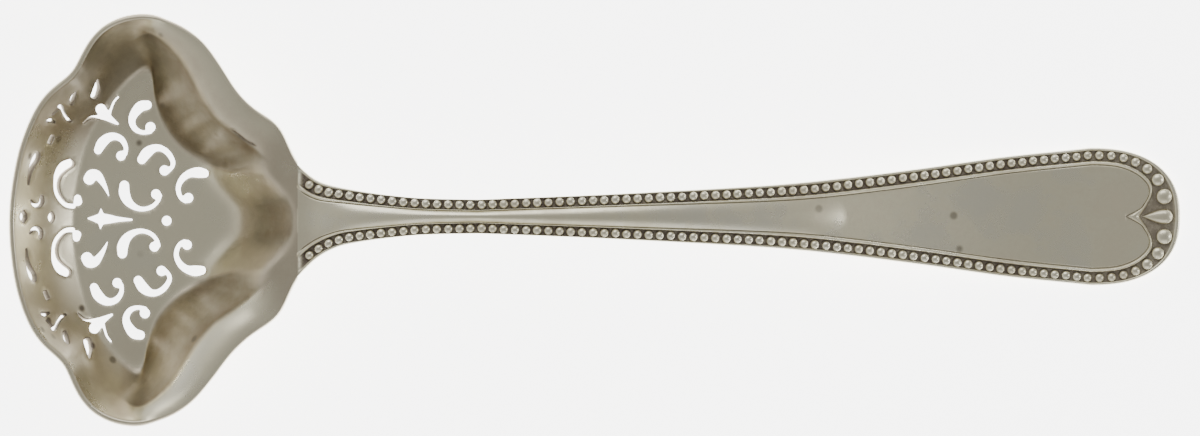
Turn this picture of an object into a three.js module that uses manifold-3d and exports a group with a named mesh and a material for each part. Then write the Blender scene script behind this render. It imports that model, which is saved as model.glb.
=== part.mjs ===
// A sugar sifter spoon in silver: a pierced, lobed bowl lapped and hard-soldered to a beaded handle.
// Millimetres. The spoon lies on its back: X runs from the bowl to the tip of the handle, Y runs
// across and Z is up. Z = 0 is the table, under the flat floor of the bowl and the tip of the handle.

import * as THREE from 'three';
import { mergeVertices } from 'three/addons/utils/BufferGeometryUtils.js';
import Module from 'manifold-3d';

const wasm = await Module();
wasm.setup();

// Bowl
const bowlLength = 38.6; // from the front of the rim to the seam at the handle
const bowlWidth = 54.8; // across the side lobes
const bowlDepth = 11.6; // from the table to the top of the side lobes
const bowlGauge = 0.9; // thickness of the sheet
const neckGauge = 1.4; // thickness of the bowl where it meets the handle
const neckHeight = 11.4; // from the table to the top of the spoon at the seam
const rampBlend = 0.8; // softness of the meeting of the ramp with the floor and the walls
const rampSkew = 1.6; // above 1, the steepest part of the ramp lies nearer the handle
const valleyReach = 4.2; // how much farther the ramp runs on its axis than at its sides
const valleyFloorHalf = 1.0; // half width of the level bottom of the valley in the ramp
const valleyHalf = 8.0; // half width of the whole valley
const wallCurl = 0.5; // 0 makes the front wall straight, 1 makes it curl most towards the rim
const pocketCurl = 0.3; // the same for the walls under the fold
const rimRoundness = 0.3; // how far the rounded rim stands out past the sheet
const bowlTurn = 1.7; // degrees that the bowl is set askew on its handle
const bowlShift = 0.55; // how far the middle of the bowl lies to one side of the handle's axis
const shiftFade = 7.0; // length of the handle's root over which that shift dies out

// Lap joint
const heelReach = 5.4; // how far the handle's heel runs under the bowl
const heelWidth = 6.6; // width of the heel at the seam
const heelToeWidth = 2.6; // width of the heel's blunt end
const heelToeThickness = 1.3; // thickness of the heel's blunt end, measured straight down
const heelCrown = 0.5; // how far the sides of the heel curl up
const heelBack = 5.0; // how far the heel fades out behind the seam
const heelProud = 0.35; // how far the heel stands below the root of the handle
const lapDepth = 0.8; // metal left above the lap, measured straight down from the ramp
const solderFilm = 0.2; // thickness of the layer of solder

// Handle
const handleLength = 121.3; // from the seam to the tip
const rootWidth = 15.4; // at the seam
const rootThickness = 2.5;
const waistWidth = 4.65; // at its narrowest
const waistThickness = 3.0;
const waistFromSeam = 24.7;
const tipWidth = 19.0; // at its widest
const tipThickness = 2.0;
const tipRoundLength = 12.4; // from the widest place to the very tip
const tipSquareness = 2.4; // 2 would make the round of the tip half an ellipse
const crestHeight = 15.4; // from the table to the top of the arch
const crestFromSeam = 34.0;
const landingLength = 11.0; // underside at the tip that lies on the table
const undersideBevel = 0.9; // rise of the rounded underside at the edges
const stemCrown = 0.35; // how far the smooth stem bulges between its borders
const crownFade = 9.0; // length of the root over which the stem starts to bulge
const flatFromTip = 46.0; // where the crowned stem turns into the flat panel
const flatFade = 5.0; // length over which it turns

// Border of the handle, from its edge inwards
const marginWidth = 0.42; // plain edge outside the beads
const beadDiameter = 1.24;
const beadGap = 0.195; // between one bead and the next
const tipBeadGap = 0.36; // the same round the tip
const beadHeight = 0.62; // how far a bead stands above the floor of its channel
const channelDepth = 0.42; // below the plain edge
const threadWidth = 0.65; // raised line inside the beads
const threadGap = 0.14; // between the beads and the thread
const threadHeight = 0.22;
const bigBeadDiameter = 2.3; // the pair beside the drop
const bigBeadFromAxis = 3.2; // from the axis to the edge of the handle beside such a bead
const evenBeadsFromAxis = 9.2; // the same where the beads round the tip start to grow
const firstBeadFromSeam = 0.72; // the first bead is left out if it would be nearer than this
const fullBorderWidth = 10.2; // width of the handle at which its border has its full width
const tipMarginWidth = 0.76; // plain edge outside the pair of big beads
const dropLength = 4.05;
const dropWidth = 2.05;
const dropHeight = 0.85;
const dropMargin = 1.0; // from the tip to the round end of the drop
const dropGap = 0.66; // from the drop to the big beads
const heartDip = 1.9; // how far the thread dips inwards at the axis
const heartDipReach = 3.6; // how far from the axis that dip begins
const heartPoint = 1.25; // extra length of the thread where its two sides meet
const heartSharpness = 1.3; // above 1, the two sides meet in a sharper point

// Piercing
const pieceOverrun = 1.2; // how far a cutting tool runs past the sheet
const scrollRadius = 0.72; // half the width of a scroll at its broadest
const dotDiameter = 1.35;
const ovalWidth = 0.68;
const ovalLength = 1.35;

// Points nearer to each other than this are one point.
const weldDistance = 0.0001;

// Places on the bowl are shares: along it from the front rim to the seam, and out from its axis
// to the widest point of the side lobes. A third number is a height as a share of the depth.
const floorShares = [
  [0.196, 0], [0.2, 0.126], [0.218, 0.277], [0.246, 0.423], [0.279, 0.519], [0.318, 0.605],
  [0.368, 0.69], [0.425, 0.761], [0.454, 0.756], [0.464, 0.665], [0.482, 0.564], [0.518, 0.463],
  [0.582, 0.368], [0.668, 0.302], [0.768, 0.262], [0.846, 0.232], [0.889, 0.141], [0.904, 0],
];
const frontRimShares = [
  [0, 0, 0.9], [0.0125, 0.212, 0.9], [0.043, 0.403, 0.9], [0.104, 0.584, 0.9], [0.207, 0.705, 0.92],
];
const sideRimShares = [
  [0.207, 0.705, 0.92], [0.261, 0.866, 0.95], [0.325, 0.955, 0.98], [0.418, 0.997, 1],
  [0.525, 0.987, 1], [0.629, 0.907, 1], [0.704, 0.781, 0.99], [0.764, 0.66, 0.99],
  [0.825, 0.572, 0.99], [0.886, 0.512, 0.985], [0.939, 0.445, 0.96], [0.982, 0.312, 0.91],
  [1.025, 0.215, 0.88], [1.075, 0, 0.88],
];
const foldShares = [
  [0.41, 0.965, 0.93], [0.489, 0.917, 0.9], [0.561, 0.826, 0.87], [0.611, 0.72, 0.86],
  [0.654, 0.615, 0.86], [0.711, 0.509, 0.87], [0.786, 0.433, 0.885], [0.868, 0.338, 0.89],
  [0.929, 0.272, 0.88], [0.98, 0.21, 0.88],
];
const floorMiddleShare = 0.496;
const foldFirst = 7; // the rib where the fold starts, at the tip of the side lobe
const foldLast = foldFirst + foldShares.length - 1;
const ribCount = floorShares.length - 1;
const frontRibCount = frontRimShares.length - 1;
const foldFadeRibs = [0.6, 1]; // ribs outside and inside the fold's ends over which it dies out
const rampShares = [0.64, 1.01]; // where the ramp leaves the floor and where it is level again
const wallBreakShare = 0.62; // how far up the ribs the fold lies
const neckThickenShares = [0.86, 0.99];
const stemBorderShare = 0.3; // margin, gap and thread along the stem, of their full widths
const crownShoulderShare = 0.75; // height of the crown half way to the axis, of its full height
const undersideFlatShare = 0.75; // flat middle of the underside, of the width of the handle
const beadTopShare = 0.58; // width of a bead's top facet, of its foot
const dropTopShare = 0.55; // the same for the drop
const dropRoundShare = 0.62; // half of the round end of the drop, of half a turn
const bendShare = 0.84; // part of the walk along the handle's edge that lies before the round tip
const heelSpanShare = 0.7; // most of the handle's width that the heel takes up
const heelFlatShare = 0.6; // flat middle of the heel, of its width

// Half widths of the handle as shares of the change, from the waist back to the seam and on to the tip.
const rootFlareShares = [
  [0, 0], [0.3, 0.035], [0.5, 0.12], [0.67, 0.235], [0.79, 0.36], [0.895, 0.58], [1, 1],
];
const bladeShares = [
  [0, 0], [0.2, 0.095], [0.46, 0.267], [0.59, 0.41], [0.72, 0.6], [0.86, 0.83], [1, 1],
];

// Openings of one side, each of one or more strokes. A stroke is a row of points: along the bowl,
// out from its axis, and the half width of the stroke as a share of a scroll's widest half width.
const scrollShares = [
  [
    [[0.441, 0.579, 0.87], [0.416, 0.569, 1], [0.393, 0.526, 0.79], [0.389, 0.489, 0.63],
      [0.402, 0.456, 0.52], [0.427, 0.441, 0.4], [0.455, 0.445, 0.38]],
    [[0.455, 0.468, 0.98]],
  ],
  [
    [[0.271, 0.345, 0.77], [0.285, 0.383, 0.96], [0.307, 0.41, 0.83], [0.332, 0.416, 0.65],
      [0.355, 0.4, 0.56], [0.369, 0.365, 0.44], [0.368, 0.332, 0.42]],
    [[0.353, 0.32, 0.92]],
  ],
  [
    [[0.428, 0.305, 0.88], [0.446, 0.34, 1], [0.471, 0.363, 0.73], [0.496, 0.363, 0.58],
      [0.521, 0.34, 0.54], [0.538, 0.302, 0.46], [0.537, 0.274, 0.42], [0.523, 0.249, 0.38]],
    [[0.51, 0.253, 0.96]],
  ],
  [
    [[0.652, 0.243, 0.85], [0.63, 0.247, 1], [0.604, 0.243, 0.77], [0.579, 0.221, 0.63],
      [0.563, 0.184, 0.5], [0.562, 0.149, 0.46], [0.572, 0.117, 0.42], [0.588, 0.101, 0.38]],
    [[0.598, 0.118, 0.94]],
  ],
  [
    [[0.243, 0.199, 1.08], [0.252, 0.219, 1.06], [0.271, 0.217, 0.87], [0.289, 0.186, 0.58],
      [0.303, 0.151, 0.35], [0.313, 0.118, 0.12]],
  ],
  [
    [[0.368, 0.171, 0.92], [0.369, 0.133, 1.04], [0.382, 0.093, 0.85], [0.407, 0.065, 0.58],
      [0.437, 0.055, 0.42], [0.468, 0.068, 0.42], [0.489, 0.097, 0.38], [0.497, 0.126, 0.37]],
    [[0.482, 0.132, 0.94]],
  ],
  [
    [[0.175, 0.272, 0.85], [0.155, 0.254, 0.96], [0.138, 0.217, 0.73], [0.132, 0.171, 0.54],
      [0.135, 0.128, 0.52], [0.147, 0.093, 0.5], [0.167, 0.065, 0.44], [0.191, 0.058, 0.42]],
    [[0.204, 0.101, 0.62], [0.205, 0.083, 0.77]],
  ],
  [
    [[0.07, 0.317, 0.31], [0.064, 0.292, 0.58], [0.053, 0.257, 0.42], [0.044, 0.212, 0.27],
      [0.04, 0.161, 0.13]],
  ],
  [
    [[0.083, 0.101, 0.31], [0.084, 0.076, 0.38], [0.075, 0.058, 0.37], [0.06, 0.06, 0.27],
      [0.048, 0.083, 0.12]],
  ],
  [
    [[0.1, 0.478, 0.15], [0.111, 0.484, 0.35], [0.122, 0.478, 0.23]],
  ],
  [
    [[0.107, 0.375, 0.35], [0.116, 0.405, 0.35]],
  ],
  [
    [[0.117, 0.514, 0.12], [0.134, 0.539, 0.19], [0.146, 0.557, 0.25], [0.157, 0.519, 0.25],
      [0.169, 0.491, 0.25], [0.178, 0.486, 0.19]],
  ],
  [
    [[0.18, 0.572, 0.31], [0.187, 0.599, 0.4], [0.196, 0.625, 0.23]],
  ],
  [
    [[0.27, 0.695, 0.15], [0.266, 0.652, 0.56], [0.258, 0.614, 0.65]],
  ],
  [
    [[0.28, 0.549, 1], [0.294, 0.521, 0.83], [0.316, 0.499, 0.5], [0.337, 0.481, 0.23]],
    [[0.305, 0.514, 0.31], [0.312, 0.549, 0.21], [0.323, 0.589, 0.19], [0.337, 0.614, 0.17]],
    [[0.219, 0.478, 0.13], [0.241, 0.504, 0.23], [0.266, 0.511, 0.31], [0.294, 0.509, 0.48]],
  ],
];
const starShares = [
  [0.241, 0], [0.266, 0.014], [0.286, 0.05], [0.309, 0.026], [0.348, 0.013], [0.402, 0],
  [0.348, -0.013], [0.309, -0.026], [0.286, -0.05], [0.266, -0.014],
];
const dotShare = 0.523;
const ovalShares = [0.028, 0.117];

// How finely the curved faces are cut
const stepsPerRib = 2;
const floorRingShares = [0.3, 0.56, 0.74, 0.87, 1]; // from the middle of the floor to its edge
const wallRings = 5;
const lipRings = 2;
const beadSides = 6;
const dropSides = 7;
const dropRows = 4; // rows across the handle beside the drop
const heelSteps = 10;
const capSteps = 3; // sides of the half circle at each end of a stroke
const ballSides = 8;
const halvings = 30; // to find a place on the sheet
const slopeStep = 0.02; // part of a rib between the points that give the slope of the sheet
const walkSteps = 2400; // along the edge of the handle, to space the beads

// Places worked out from the sizes above
const bowlFront = -(bowlLength + handleLength) / 2;
const seam = bowlFront + bowlLength;
const tip = seam + handleLength;
const bowlHalf = bowlWidth / 2;
const waist = seam + waistFromSeam;
const widest = tip - tipRoundLength;
const smooth = THREE.MathUtils.smoothstep;
const mix = THREE.MathUtils.lerp;

const alongBowl = (share) => bowlFront + share * bowlLength;
const onBowl = ([along, out, up = 0]) => {
  return new THREE.Vector3(alongBowl(along), out * bowlHalf, up * bowlDepth);
};

function toSolid(geometry) {
  const bare = geometry.index ? geometry.toNonIndexed() : geometry.clone();
  bare.deleteAttribute('normal');
  bare.deleteAttribute('uv');
  const merged = mergeVertices(bare, weldDistance);
  const corners = [];
  for (let i = 0; i < merged.index.count; i += 3) {
    const [a, b, c] = [0, 1, 2].map((k) => merged.index.getX(i + k));
    if (a !== b && b !== c && a !== c) corners.push(a, b, c);
  }
  const mesh = new wasm.Mesh({
    numProp: 3,
    vertProperties: new Float32Array(merged.attributes.position.array),
    triVerts: new Uint32Array(corners),
  });
  mesh.merge();
  return new wasm.Manifold(mesh);
}

function toGeometry(solid) {
  const mesh = solid.getMesh();
  const places = new Float32Array(mesh.numVert * 3);
  for (let i = 0; i < mesh.numVert; i += 1) {
    for (let axis = 0; axis < 3; axis += 1) {
      places[i * 3 + axis] = mesh.vertProperties[i * mesh.numProp + axis];
    }
  }
  const geometry = new THREE.BufferGeometry();
  geometry.setAttribute('position', new THREE.BufferAttribute(places, 3));
  geometry.setIndex([...mesh.triVerts]);
  return geometry;
}

// A geometry from rows of points. Each row closes on itself, and a fan closes the first and the last.
function skin(rows) {
  const count = rows[0].length;
  const points = rows.flat();
  const faces = [];
  for (let r = 0; r < rows.length - 1; r += 1) {
    for (let i = 0; i < count; i += 1) {
      const a = r * count + i;
      const b = r * count + ((i + 1) % count);
      faces.push(a, b, a + count, b, b + count, a + count);
    }
  }
  const last = (rows.length - 1) * count;
  for (let i = 1; i < count - 1; i += 1) {
    faces.push(0, i + 1, i);
    faces.push(last, last + i, last + i + 1);
  }
  const geometry = new THREE.BufferGeometry().setFromPoints(points);
  geometry.setIndex(faces);
  return geometry;
}

const flipped = (point) => new THREE.Vector3(point.x, -point.y, point.z);

// A smooth curve through points, carried over the axis at its ends where it crosses it.
function curveThrough(points, crossesAtStart, crossesAtEnd) {
  const before = crossesAtStart ? points.slice(1).reverse().map(flipped) : [];
  const after = crossesAtEnd ? points.slice(0, -1).reverse().map(flipped) : [];
  const all = [...before, ...points, ...after];
  const curve = new THREE.CatmullRomCurve3(all, false, 'catmullrom', 0.5);
  return (place) => curve.getPoint((before.length + place) / (all.length - 1));
}

const floorEdge = curveThrough(floorShares.map(onBowl), true, true);
const frontRim = curveThrough(frontRimShares.map(onBowl), true, false);
const sideRim = curveThrough(sideRimShares.map(onBowl), false, true);
const fold = curveThrough(foldShares.map(onBowl), false, false);
const rimEdge = (rib) => (rib < frontRibCount ? frontRim(rib) : sideRim(rib - frontRibCount));

// Height of the ramp, with the valley that runs up it to the handle.
function rampHeight(x, y = 0) {
  const [start, end] = rampShares.map(alongBowl);
  const early = valleyReach * smooth(Math.abs(y), valleyFloorHalf, valleyHalf);
  const part = THREE.MathUtils.clamp((x + early - start) / (end - start), 0, 1);
  return mix(bowlGauge - rampBlend, neckHeight, smooth(part ** rampSkew, 0, 1));
}

// The higher of two heights, rounded where they cross.
function higher(a, b) {
  const near = Math.max(rampBlend - Math.abs(a - b), 0);
  return Math.max(a, b) + (near * near) / (4 * rampBlend);
}

// The inner face of the bowl: up a rib from the edge of the floor (0) to the rim (1).
function wallPoint(rib, up) {
  const foot = floorEdge(rib);
  const rim = rimEdge(rib);
  const plain = foot.clone().lerp(rim, up);
  plain.z = mix(bowlGauge, rim.z, up * (1 - wallCurl + wallCurl * up * up));
  const edge = fold(THREE.MathUtils.clamp(rib, foldFirst, foldLast) - foldFirst);
  const bent = foot.clone();
  if (up < wallBreakShare) {
    const part = up / wallBreakShare;
    bent.lerp(edge, part);
    bent.z = mix(bowlGauge, edge.z, part * (1 - pocketCurl + pocketCurl * part));
  } else {
    const part = (up - wallBreakShare) / (1 - wallBreakShare);
    bent.copy(edge).lerp(rim, part);
    bent.z = mix(edge.z, rim.z, part * (2 - part));
  }
  const [outside, inside] = foldFadeRibs;
  const begun = smooth(rib, foldFirst - outside, foldFirst + inside);
  const ended = smooth(rib, foldLast - inside, foldLast + outside);
  const point = plain.lerp(bent, begun * (1 - ended));
  point.z = higher(point.z, rampHeight(point.x, point.y));
  return point;
}

function floorPoint(rib, out) {
  const middle = new THREE.Vector3(alongBowl(floorMiddleShare), 0, 0);
  const point = middle.lerp(floorEdge(rib), out);
  point.z = higher(bowlGauge, rampHeight(point.x, point.y));
  return point;
}

// All ribs, once round the bowl, and the rings of points along them from the middle to the rim.
function bowlRings() {
  const ribs = [];
  for (let i = 0; i <= ribCount * stepsPerRib; i += 1) ribs.push({ rib: i / stepsPerRib, side: 1 });
  for (let i = ribCount * stepsPerRib - 1; i > 0; i -= 1) ribs.push({ rib: i / stepsPerRib, side: -1 });
  const ups = [];
  for (let i = 1; i <= wallRings; i += 1) ups.push((wallBreakShare * i) / wallRings);
  for (let i = 1; i <= lipRings; i += 1) ups.push(mix(wallBreakShare, 1, i / lipRings));
  const place = ({ rib, side }, make) => (side > 0 ? make(rib) : flipped(make(rib)));
  const ring = (make, share) => ribs.map((at) => place(at, (rib) => make(rib, share)));
  return [
    ...floorRingShares.map((share) => ring(floorPoint, share)),
    ...ups.map((share) => ring(wallPoint, share)),
  ];
}

// The normals of the inner face, from its own facets.
function ringNormals(middle, rings) {
  const count = rings[0].length;
  const faces = [];
  for (let i = 0; i < count; i += 1) faces.push(0, 1 + ((i + 1) % count), 1 + i);
  for (let r = 0; r < rings.length - 1; r += 1) {
    for (let i = 0; i < count; i += 1) {
      const a = 1 + r * count + i;
      const b = 1 + r * count + ((i + 1) % count);
      faces.push(a, b, a + count, b, b + count, a + count);
    }
  }
  const geometry = new THREE.BufferGeometry().setFromPoints([middle, ...rings.flat()]);
  geometry.setIndex(faces);
  geometry.computeVertexNormals();
  const normals = geometry.attributes.normal;
  return rings.map((ring, r) => ring.map((_, i) => {
    const normal = new THREE.Vector3().fromBufferAttribute(normals, 1 + r * count + i);
    return normal.z < 0 ? normal.negate() : normal;
  }));
}

// The point of the outer face below a point of the inner one. Under the flat floor it is the table.
function outerPoint(point, normal) {
  const thicker = smooth(point.x, alongBowl(neckThickenShares[0]), alongBowl(neckThickenShares[1]));
  const gauge = mix(bowlGauge, neckGauge, thicker);
  const onFloor = point.z - bowlGauge < weldDistance;
  const depth = onFloor ? gauge / normal.z : gauge;
  return point.clone().addScaledVector(normal, -depth);
}

function bowlShell() {
  const middle = new THREE.Vector3(alongBowl(floorMiddleShare), 0, bowlGauge);
  const inner = bowlRings();
  const normals = ringNormals(middle, inner);
  const outer = inner.map((ring, r) => ring.map((point, i) => outerPoint(point, normals[r][i])));
  const last = inner.length - 1;
  const rim = inner[last].map((point, i) => {
    const outwards = point.clone().sub(inner[last - 1][i]).normalize();
    return point.clone().lerp(outer[last][i], 0.5).addScaledVector(outwards, rimRoundness);
  });
  const rings = [...inner, rim, ...outer.reverse()];
  const count = inner[0].length;
  const under = new THREE.Vector3(middle.x, middle.y, 0);
  const points = [middle, ...rings.flat(), under];
  const faces = [];
  for (let r = 0; r < rings.length - 1; r += 1) {
    for (let i = 0; i < count; i += 1) {
      const a = 1 + r * count + i;
      const b = 1 + r * count + ((i + 1) % count);
      faces.push(a, b, a + count, b, b + count, a + count);
    }
  }
  const firstOfLast = 1 + (rings.length - 1) * count;
  for (let i = 0; i < count; i += 1) {
    const next = (i + 1) % count;
    faces.push(0, 1 + next, 1 + i);
    faces.push(points.length - 1, firstOfLast + i, firstOfLast + next);
  }
  const geometry = new THREE.BufferGeometry().setFromPoints(points);
  geometry.setIndex(faces);
  return toSolid(geometry);
}

// The place on the sheet straight above a place on the plan, and the way the sheet faces there.
function sheetAt([along, out]) {
  const x = alongBowl(along);
  const y = out * bowlHalf;
  const side = (rib) => {
    const foot = floorEdge(rib);
    const rim = rimEdge(rib);
    return (rim.x - foot.x) * (y - foot.y) - (rim.y - foot.y) * (x - foot.x);
  };
  let low = 0;
  let high = foldFirst;
  const lowSide = Math.sign(side(low)) || 1;
  for (let i = 0; i < halvings; i += 1) {
    const middle = (low + high) / 2;
    if (Math.sign(side(middle)) === lowSide) low = middle;
    else high = middle;
  }
  const foot = floorEdge(low);
  const rim = rimEdge(low);
  const span = new THREE.Vector2(rim.x - foot.x, rim.y - foot.y);
  const up = ((x - foot.x) * span.x + (y - foot.y) * span.y) / span.lengthSq();
  if (up <= 0 || x > alongBowl(floorMiddleShare)) {
    return { point: new THREE.Vector3(x, y, bowlGauge), normal: new THREE.Vector3(0, 0, 1) };
  }
  const alongRim = wallPoint(low + slopeStep, up).sub(wallPoint(Math.max(low - slopeStep, 0), up));
  const upWall = wallPoint(low, up + slopeStep).sub(wallPoint(low, Math.max(up - slopeStep, 0)));
  const normal = alongRim.cross(upWall).normalize();
  if (normal.z < 0) normal.negate();
  return { point: wallPoint(low, up), normal };
}

// The outline of a stroke from its points and half widths: two sides, a round head and a round tail.
function strokeShape(points, halfWidths) {
  if (points.length === 1) {
    const round = new THREE.Shape().absarc(points[0].x, points[0].y, halfWidths[0], 0, 2 * Math.PI);
    return new THREE.Shape(round.getPoints(ballSides / 2).slice(0, -1));
  }
  const last = points.length - 1;
  const ways = points.map((_, i) => {
    const ahead = points[Math.min(i + 1, last)];
    const behind = points[Math.max(i - 1, 0)];
    return ahead.clone().sub(behind).normalize();
  });
  const side = (sign) => points.map((at, i) => {
    const out = new THREE.Vector2(-ways[i].y, ways[i].x).multiplyScalar(sign * halfWidths[i]);
    return at.clone().add(out);
  });
  const cap = (i, from) => {
    const round = [];
    for (let k = 1; k < capSteps; k += 1) {
      const angle = ways[i].angle() + from - (Math.PI * k) / capSteps;
      const out = new THREE.Vector2(Math.cos(angle), Math.sin(angle)).multiplyScalar(halfWidths[i]);
      round.push(points[i].clone().add(out));
    }
    return round;
  };
  return new THREE.Shape([
    ...side(1), ...cap(last, Math.PI / 2), ...side(-1).reverse(), ...cap(0, -Math.PI / 2),
  ]);
}

// A tool that cuts a shape square through the sheet at a place, with the shape's points on the sheet.
function punch(shape, place) {
  const geometry = new THREE.ExtrudeGeometry(shape, {
    depth: bowlGauge + 2 * pieceOverrun,
    bevelEnabled: false,
    curveSegments: 1,
  });
  geometry.translate(0, 0, -bowlGauge - pieceOverrun);
  return geometry.applyMatrix4(place);
}

function sheetFrame({ point, normal }) {
  const along = new THREE.Vector3(1, 0, 0).addScaledVector(normal, -normal.x).normalize();
  const across = normal.clone().cross(along);
  return new THREE.Matrix4().makeBasis(along, across, normal).setPosition(point);
}

// A place on the plan, carried straight up or down to the plane of a frame and read in that plane.
function readInFrame(frame, { point, normal }, [along, out]) {
  const x = alongBowl(along);
  const y = out * bowlHalf;
  const lift = ((point.x - x) * normal.x + (point.y - y) * normal.y) / normal.z;
  const local = new THREE.Vector3(x, y, point.z + lift).applyMatrix4(frame.clone().invert());
  return new THREE.Vector2(local.x, local.y);
}

// The tools that cut the strokes of one opening, all square to the sheet at the middle of the first.
function scrollPunches(strokes) {
  const [along, out] = strokes[0][Math.floor(strokes[0].length / 2)];
  const sheet = sheetAt([along, out]);
  const frame = sheetFrame(sheet);
  return strokes.map((stroke) => {
    const points = stroke.map((share) => readInFrame(frame, sheet, share));
    const halfWidths = stroke.map(([, , share]) => share * scrollRadius);
    return punch(strokeShape(points, halfWidths), frame);
  });
}

function mirrored(geometry) {
  const copy = geometry.index ? geometry.toNonIndexed() : geometry.clone();
  const places = copy.attributes.position;
  for (let i = 0; i < places.count; i += 3) {
    const [a, b, c] = [0, 1, 2].map((k) => new THREE.Vector3().fromBufferAttribute(places, i + k));
    [a, c, b].forEach((corner, k) => places.setXYZ(i + k, corner.x, -corner.y, corner.z));
  }
  return copy;
}

function piercings() {
  const tools = [];
  for (const tool of scrollShares.flatMap(scrollPunches)) tools.push(tool, mirrored(tool));
  const floorSheet = sheetAt([dotShare, 0]);
  const floorFrame = sheetFrame(floorSheet);
  const star = starShares.map((share) => readInFrame(floorFrame, floorSheet, share));
  tools.push(punch(new THREE.Shape(star), floorFrame));
  tools.push(punch(strokeShape([new THREE.Vector2()], [dotDiameter / 2]), floorFrame));
  for (const share of ovalShares) {
    const oval = new THREE.Shape().absellipse(0, 0, ovalWidth / 2, ovalLength / 2, 0, 2 * Math.PI);
    const outline = new THREE.Shape(oval.getPoints(ballSides / 2).slice(0, -1));
    tools.push(punch(outline, sheetFrame(sheetAt([share, 0]))));
  }
  return tools.map(toSolid).reduce((all, one) => all.add(one));
}

// Turns and shifts a solid as the bowl is set on the handle: the turn dies out on the ramp, and the
// shift on the root of the handle.
function setAskew(solid) {
  const geometry = toGeometry(solid);
  const places = geometry.attributes.position;
  const middle = alongBowl(floorMiddleShare);
  for (let i = 0; i < places.count; i += 1) {
    const x = places.getX(i);
    const y = places.getY(i);
    const turning = 1 - smooth(x, alongBowl(rampShares[0]), seam);
    const angle = -THREE.MathUtils.degToRad(bowlTurn) * turning;
    const shift = bowlShift * (1 - smooth(x, seam, seam + shiftFade));
    const turnedX = middle + (x - middle) * Math.cos(angle) - y * Math.sin(angle);
    const turnedY = (x - middle) * Math.sin(angle) + y * Math.cos(angle) - shift;
    places.setXY(i, turnedX, turnedY);
  }
  return toSolid(geometry);
}

// A curve through shares, read by its first number.
function shareCurve(shares) {
  const curve = new THREE.SplineCurve(shares.map(([at, value]) => new THREE.Vector2(at, value)));
  const points = curve.getPoints(shares.length * 8);
  return (at) => {
    const next = Math.max(points.findIndex((point) => point.x >= at), 1);
    const [a, b] = [points[next - 1], points[next]];
    return mix(a.y, b.y, (at - a.x) / (b.x - a.x));
  };
}

const rootFlare = shareCurve(rootFlareShares);
const blade = shareCurve(bladeShares);

function halfWidth(x) {
  if (x <= waist) return mix(waistWidth, rootWidth, rootFlare((waist - x) / waistFromSeam)) / 2;
  return mix(waistWidth, tipWidth, blade((Math.min(x, widest) - waist) / (widest - waist))) / 2;
}

function thickness(x) {
  if (x <= waist) return mix(rootThickness, waistThickness, smooth(x, seam, waist));
  return mix(waistThickness, tipThickness, smooth(x, waist, tip - landingLength));
}

// Height of the underside of the handle along its axis: up over the arch and down to the table.
function undersideHeight(x) {
  const crest = seam + crestFromSeam;
  const high = crestHeight - waistThickness;
  const low = neckHeight - rootThickness;
  if (x <= crest) return mix(low, high, Math.sin((Math.PI / 2) * (x - seam) / crestFromSeam));
  return high * (1 - smooth(x, crest, tip - landingLength));
}

const topHeight = (x) => undersideHeight(x) + thickness(x);

// The edge of the handle as one walk from the seam (0) to the tip (1).
function edgeAt(part) {
  if (part < bendShare) {
    const x = mix(seam, widest, part / bendShare);
    return new THREE.Vector2(x, halfWidth(x));
  }
  const angle = (Math.PI / 2) * ((part - bendShare) / (1 - bendShare));
  const x = widest + tipRoundLength * Math.sin(angle) ** (2 / tipSquareness);
  const y = (tipWidth / 2) * Math.max(Math.cos(angle), 0) ** (2 / tipSquareness);
  return new THREE.Vector2(x, y);
}

// The way inwards from the edge, square to it.
function inwardsAt(part) {
  if (part === 1) return new THREE.Vector2(-1, 0);
  const before = edgeAt(Math.max(part - 1 / walkSteps, 0));
  const after = edgeAt(Math.min(part + 1 / walkSteps, 1));
  const way = after.sub(before).normalize();
  return new THREE.Vector2(way.y, -way.x);
}

// The border at a place on the edge: narrow along the stem and broad at both ends of the handle.
function borderInsets(edge) {
  const full = smooth(2 * halfWidth(edge.x), waistWidth, fullBorderWidth);
  const fullness = mix(stemBorderShare, 1, full);
  const round = edge.x > widest ? 1 : 0;
  const growing = (evenBeadsFromAxis - edge.y) / (evenBeadsFromAxis - bigBeadFromAxis);
  const grown = round * THREE.MathUtils.clamp(growing, 0, 1);
  const diameter = mix(beadDiameter, bigBeadDiameter, grown);
  const margin = mix(marginWidth * fullness, tipMarginWidth, grown);
  const dipping = round * Math.max(1 - edge.y / heartDipReach, 0) ** heartSharpness;
  const thread = threadWidth * fullness + heartPoint * dipping;
  const near = margin + diameter + threadGap * fullness + heartDip * dipping;
  const pitch = diameter + mix(beadGap, tipBeadGap, round);
  return { margin, diameter, pitch, near, crest: near + thread / 2, far: near + thread };
}

const heartCusp = tip - borderInsets(new THREE.Vector2(tip, 0)).far;

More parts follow.
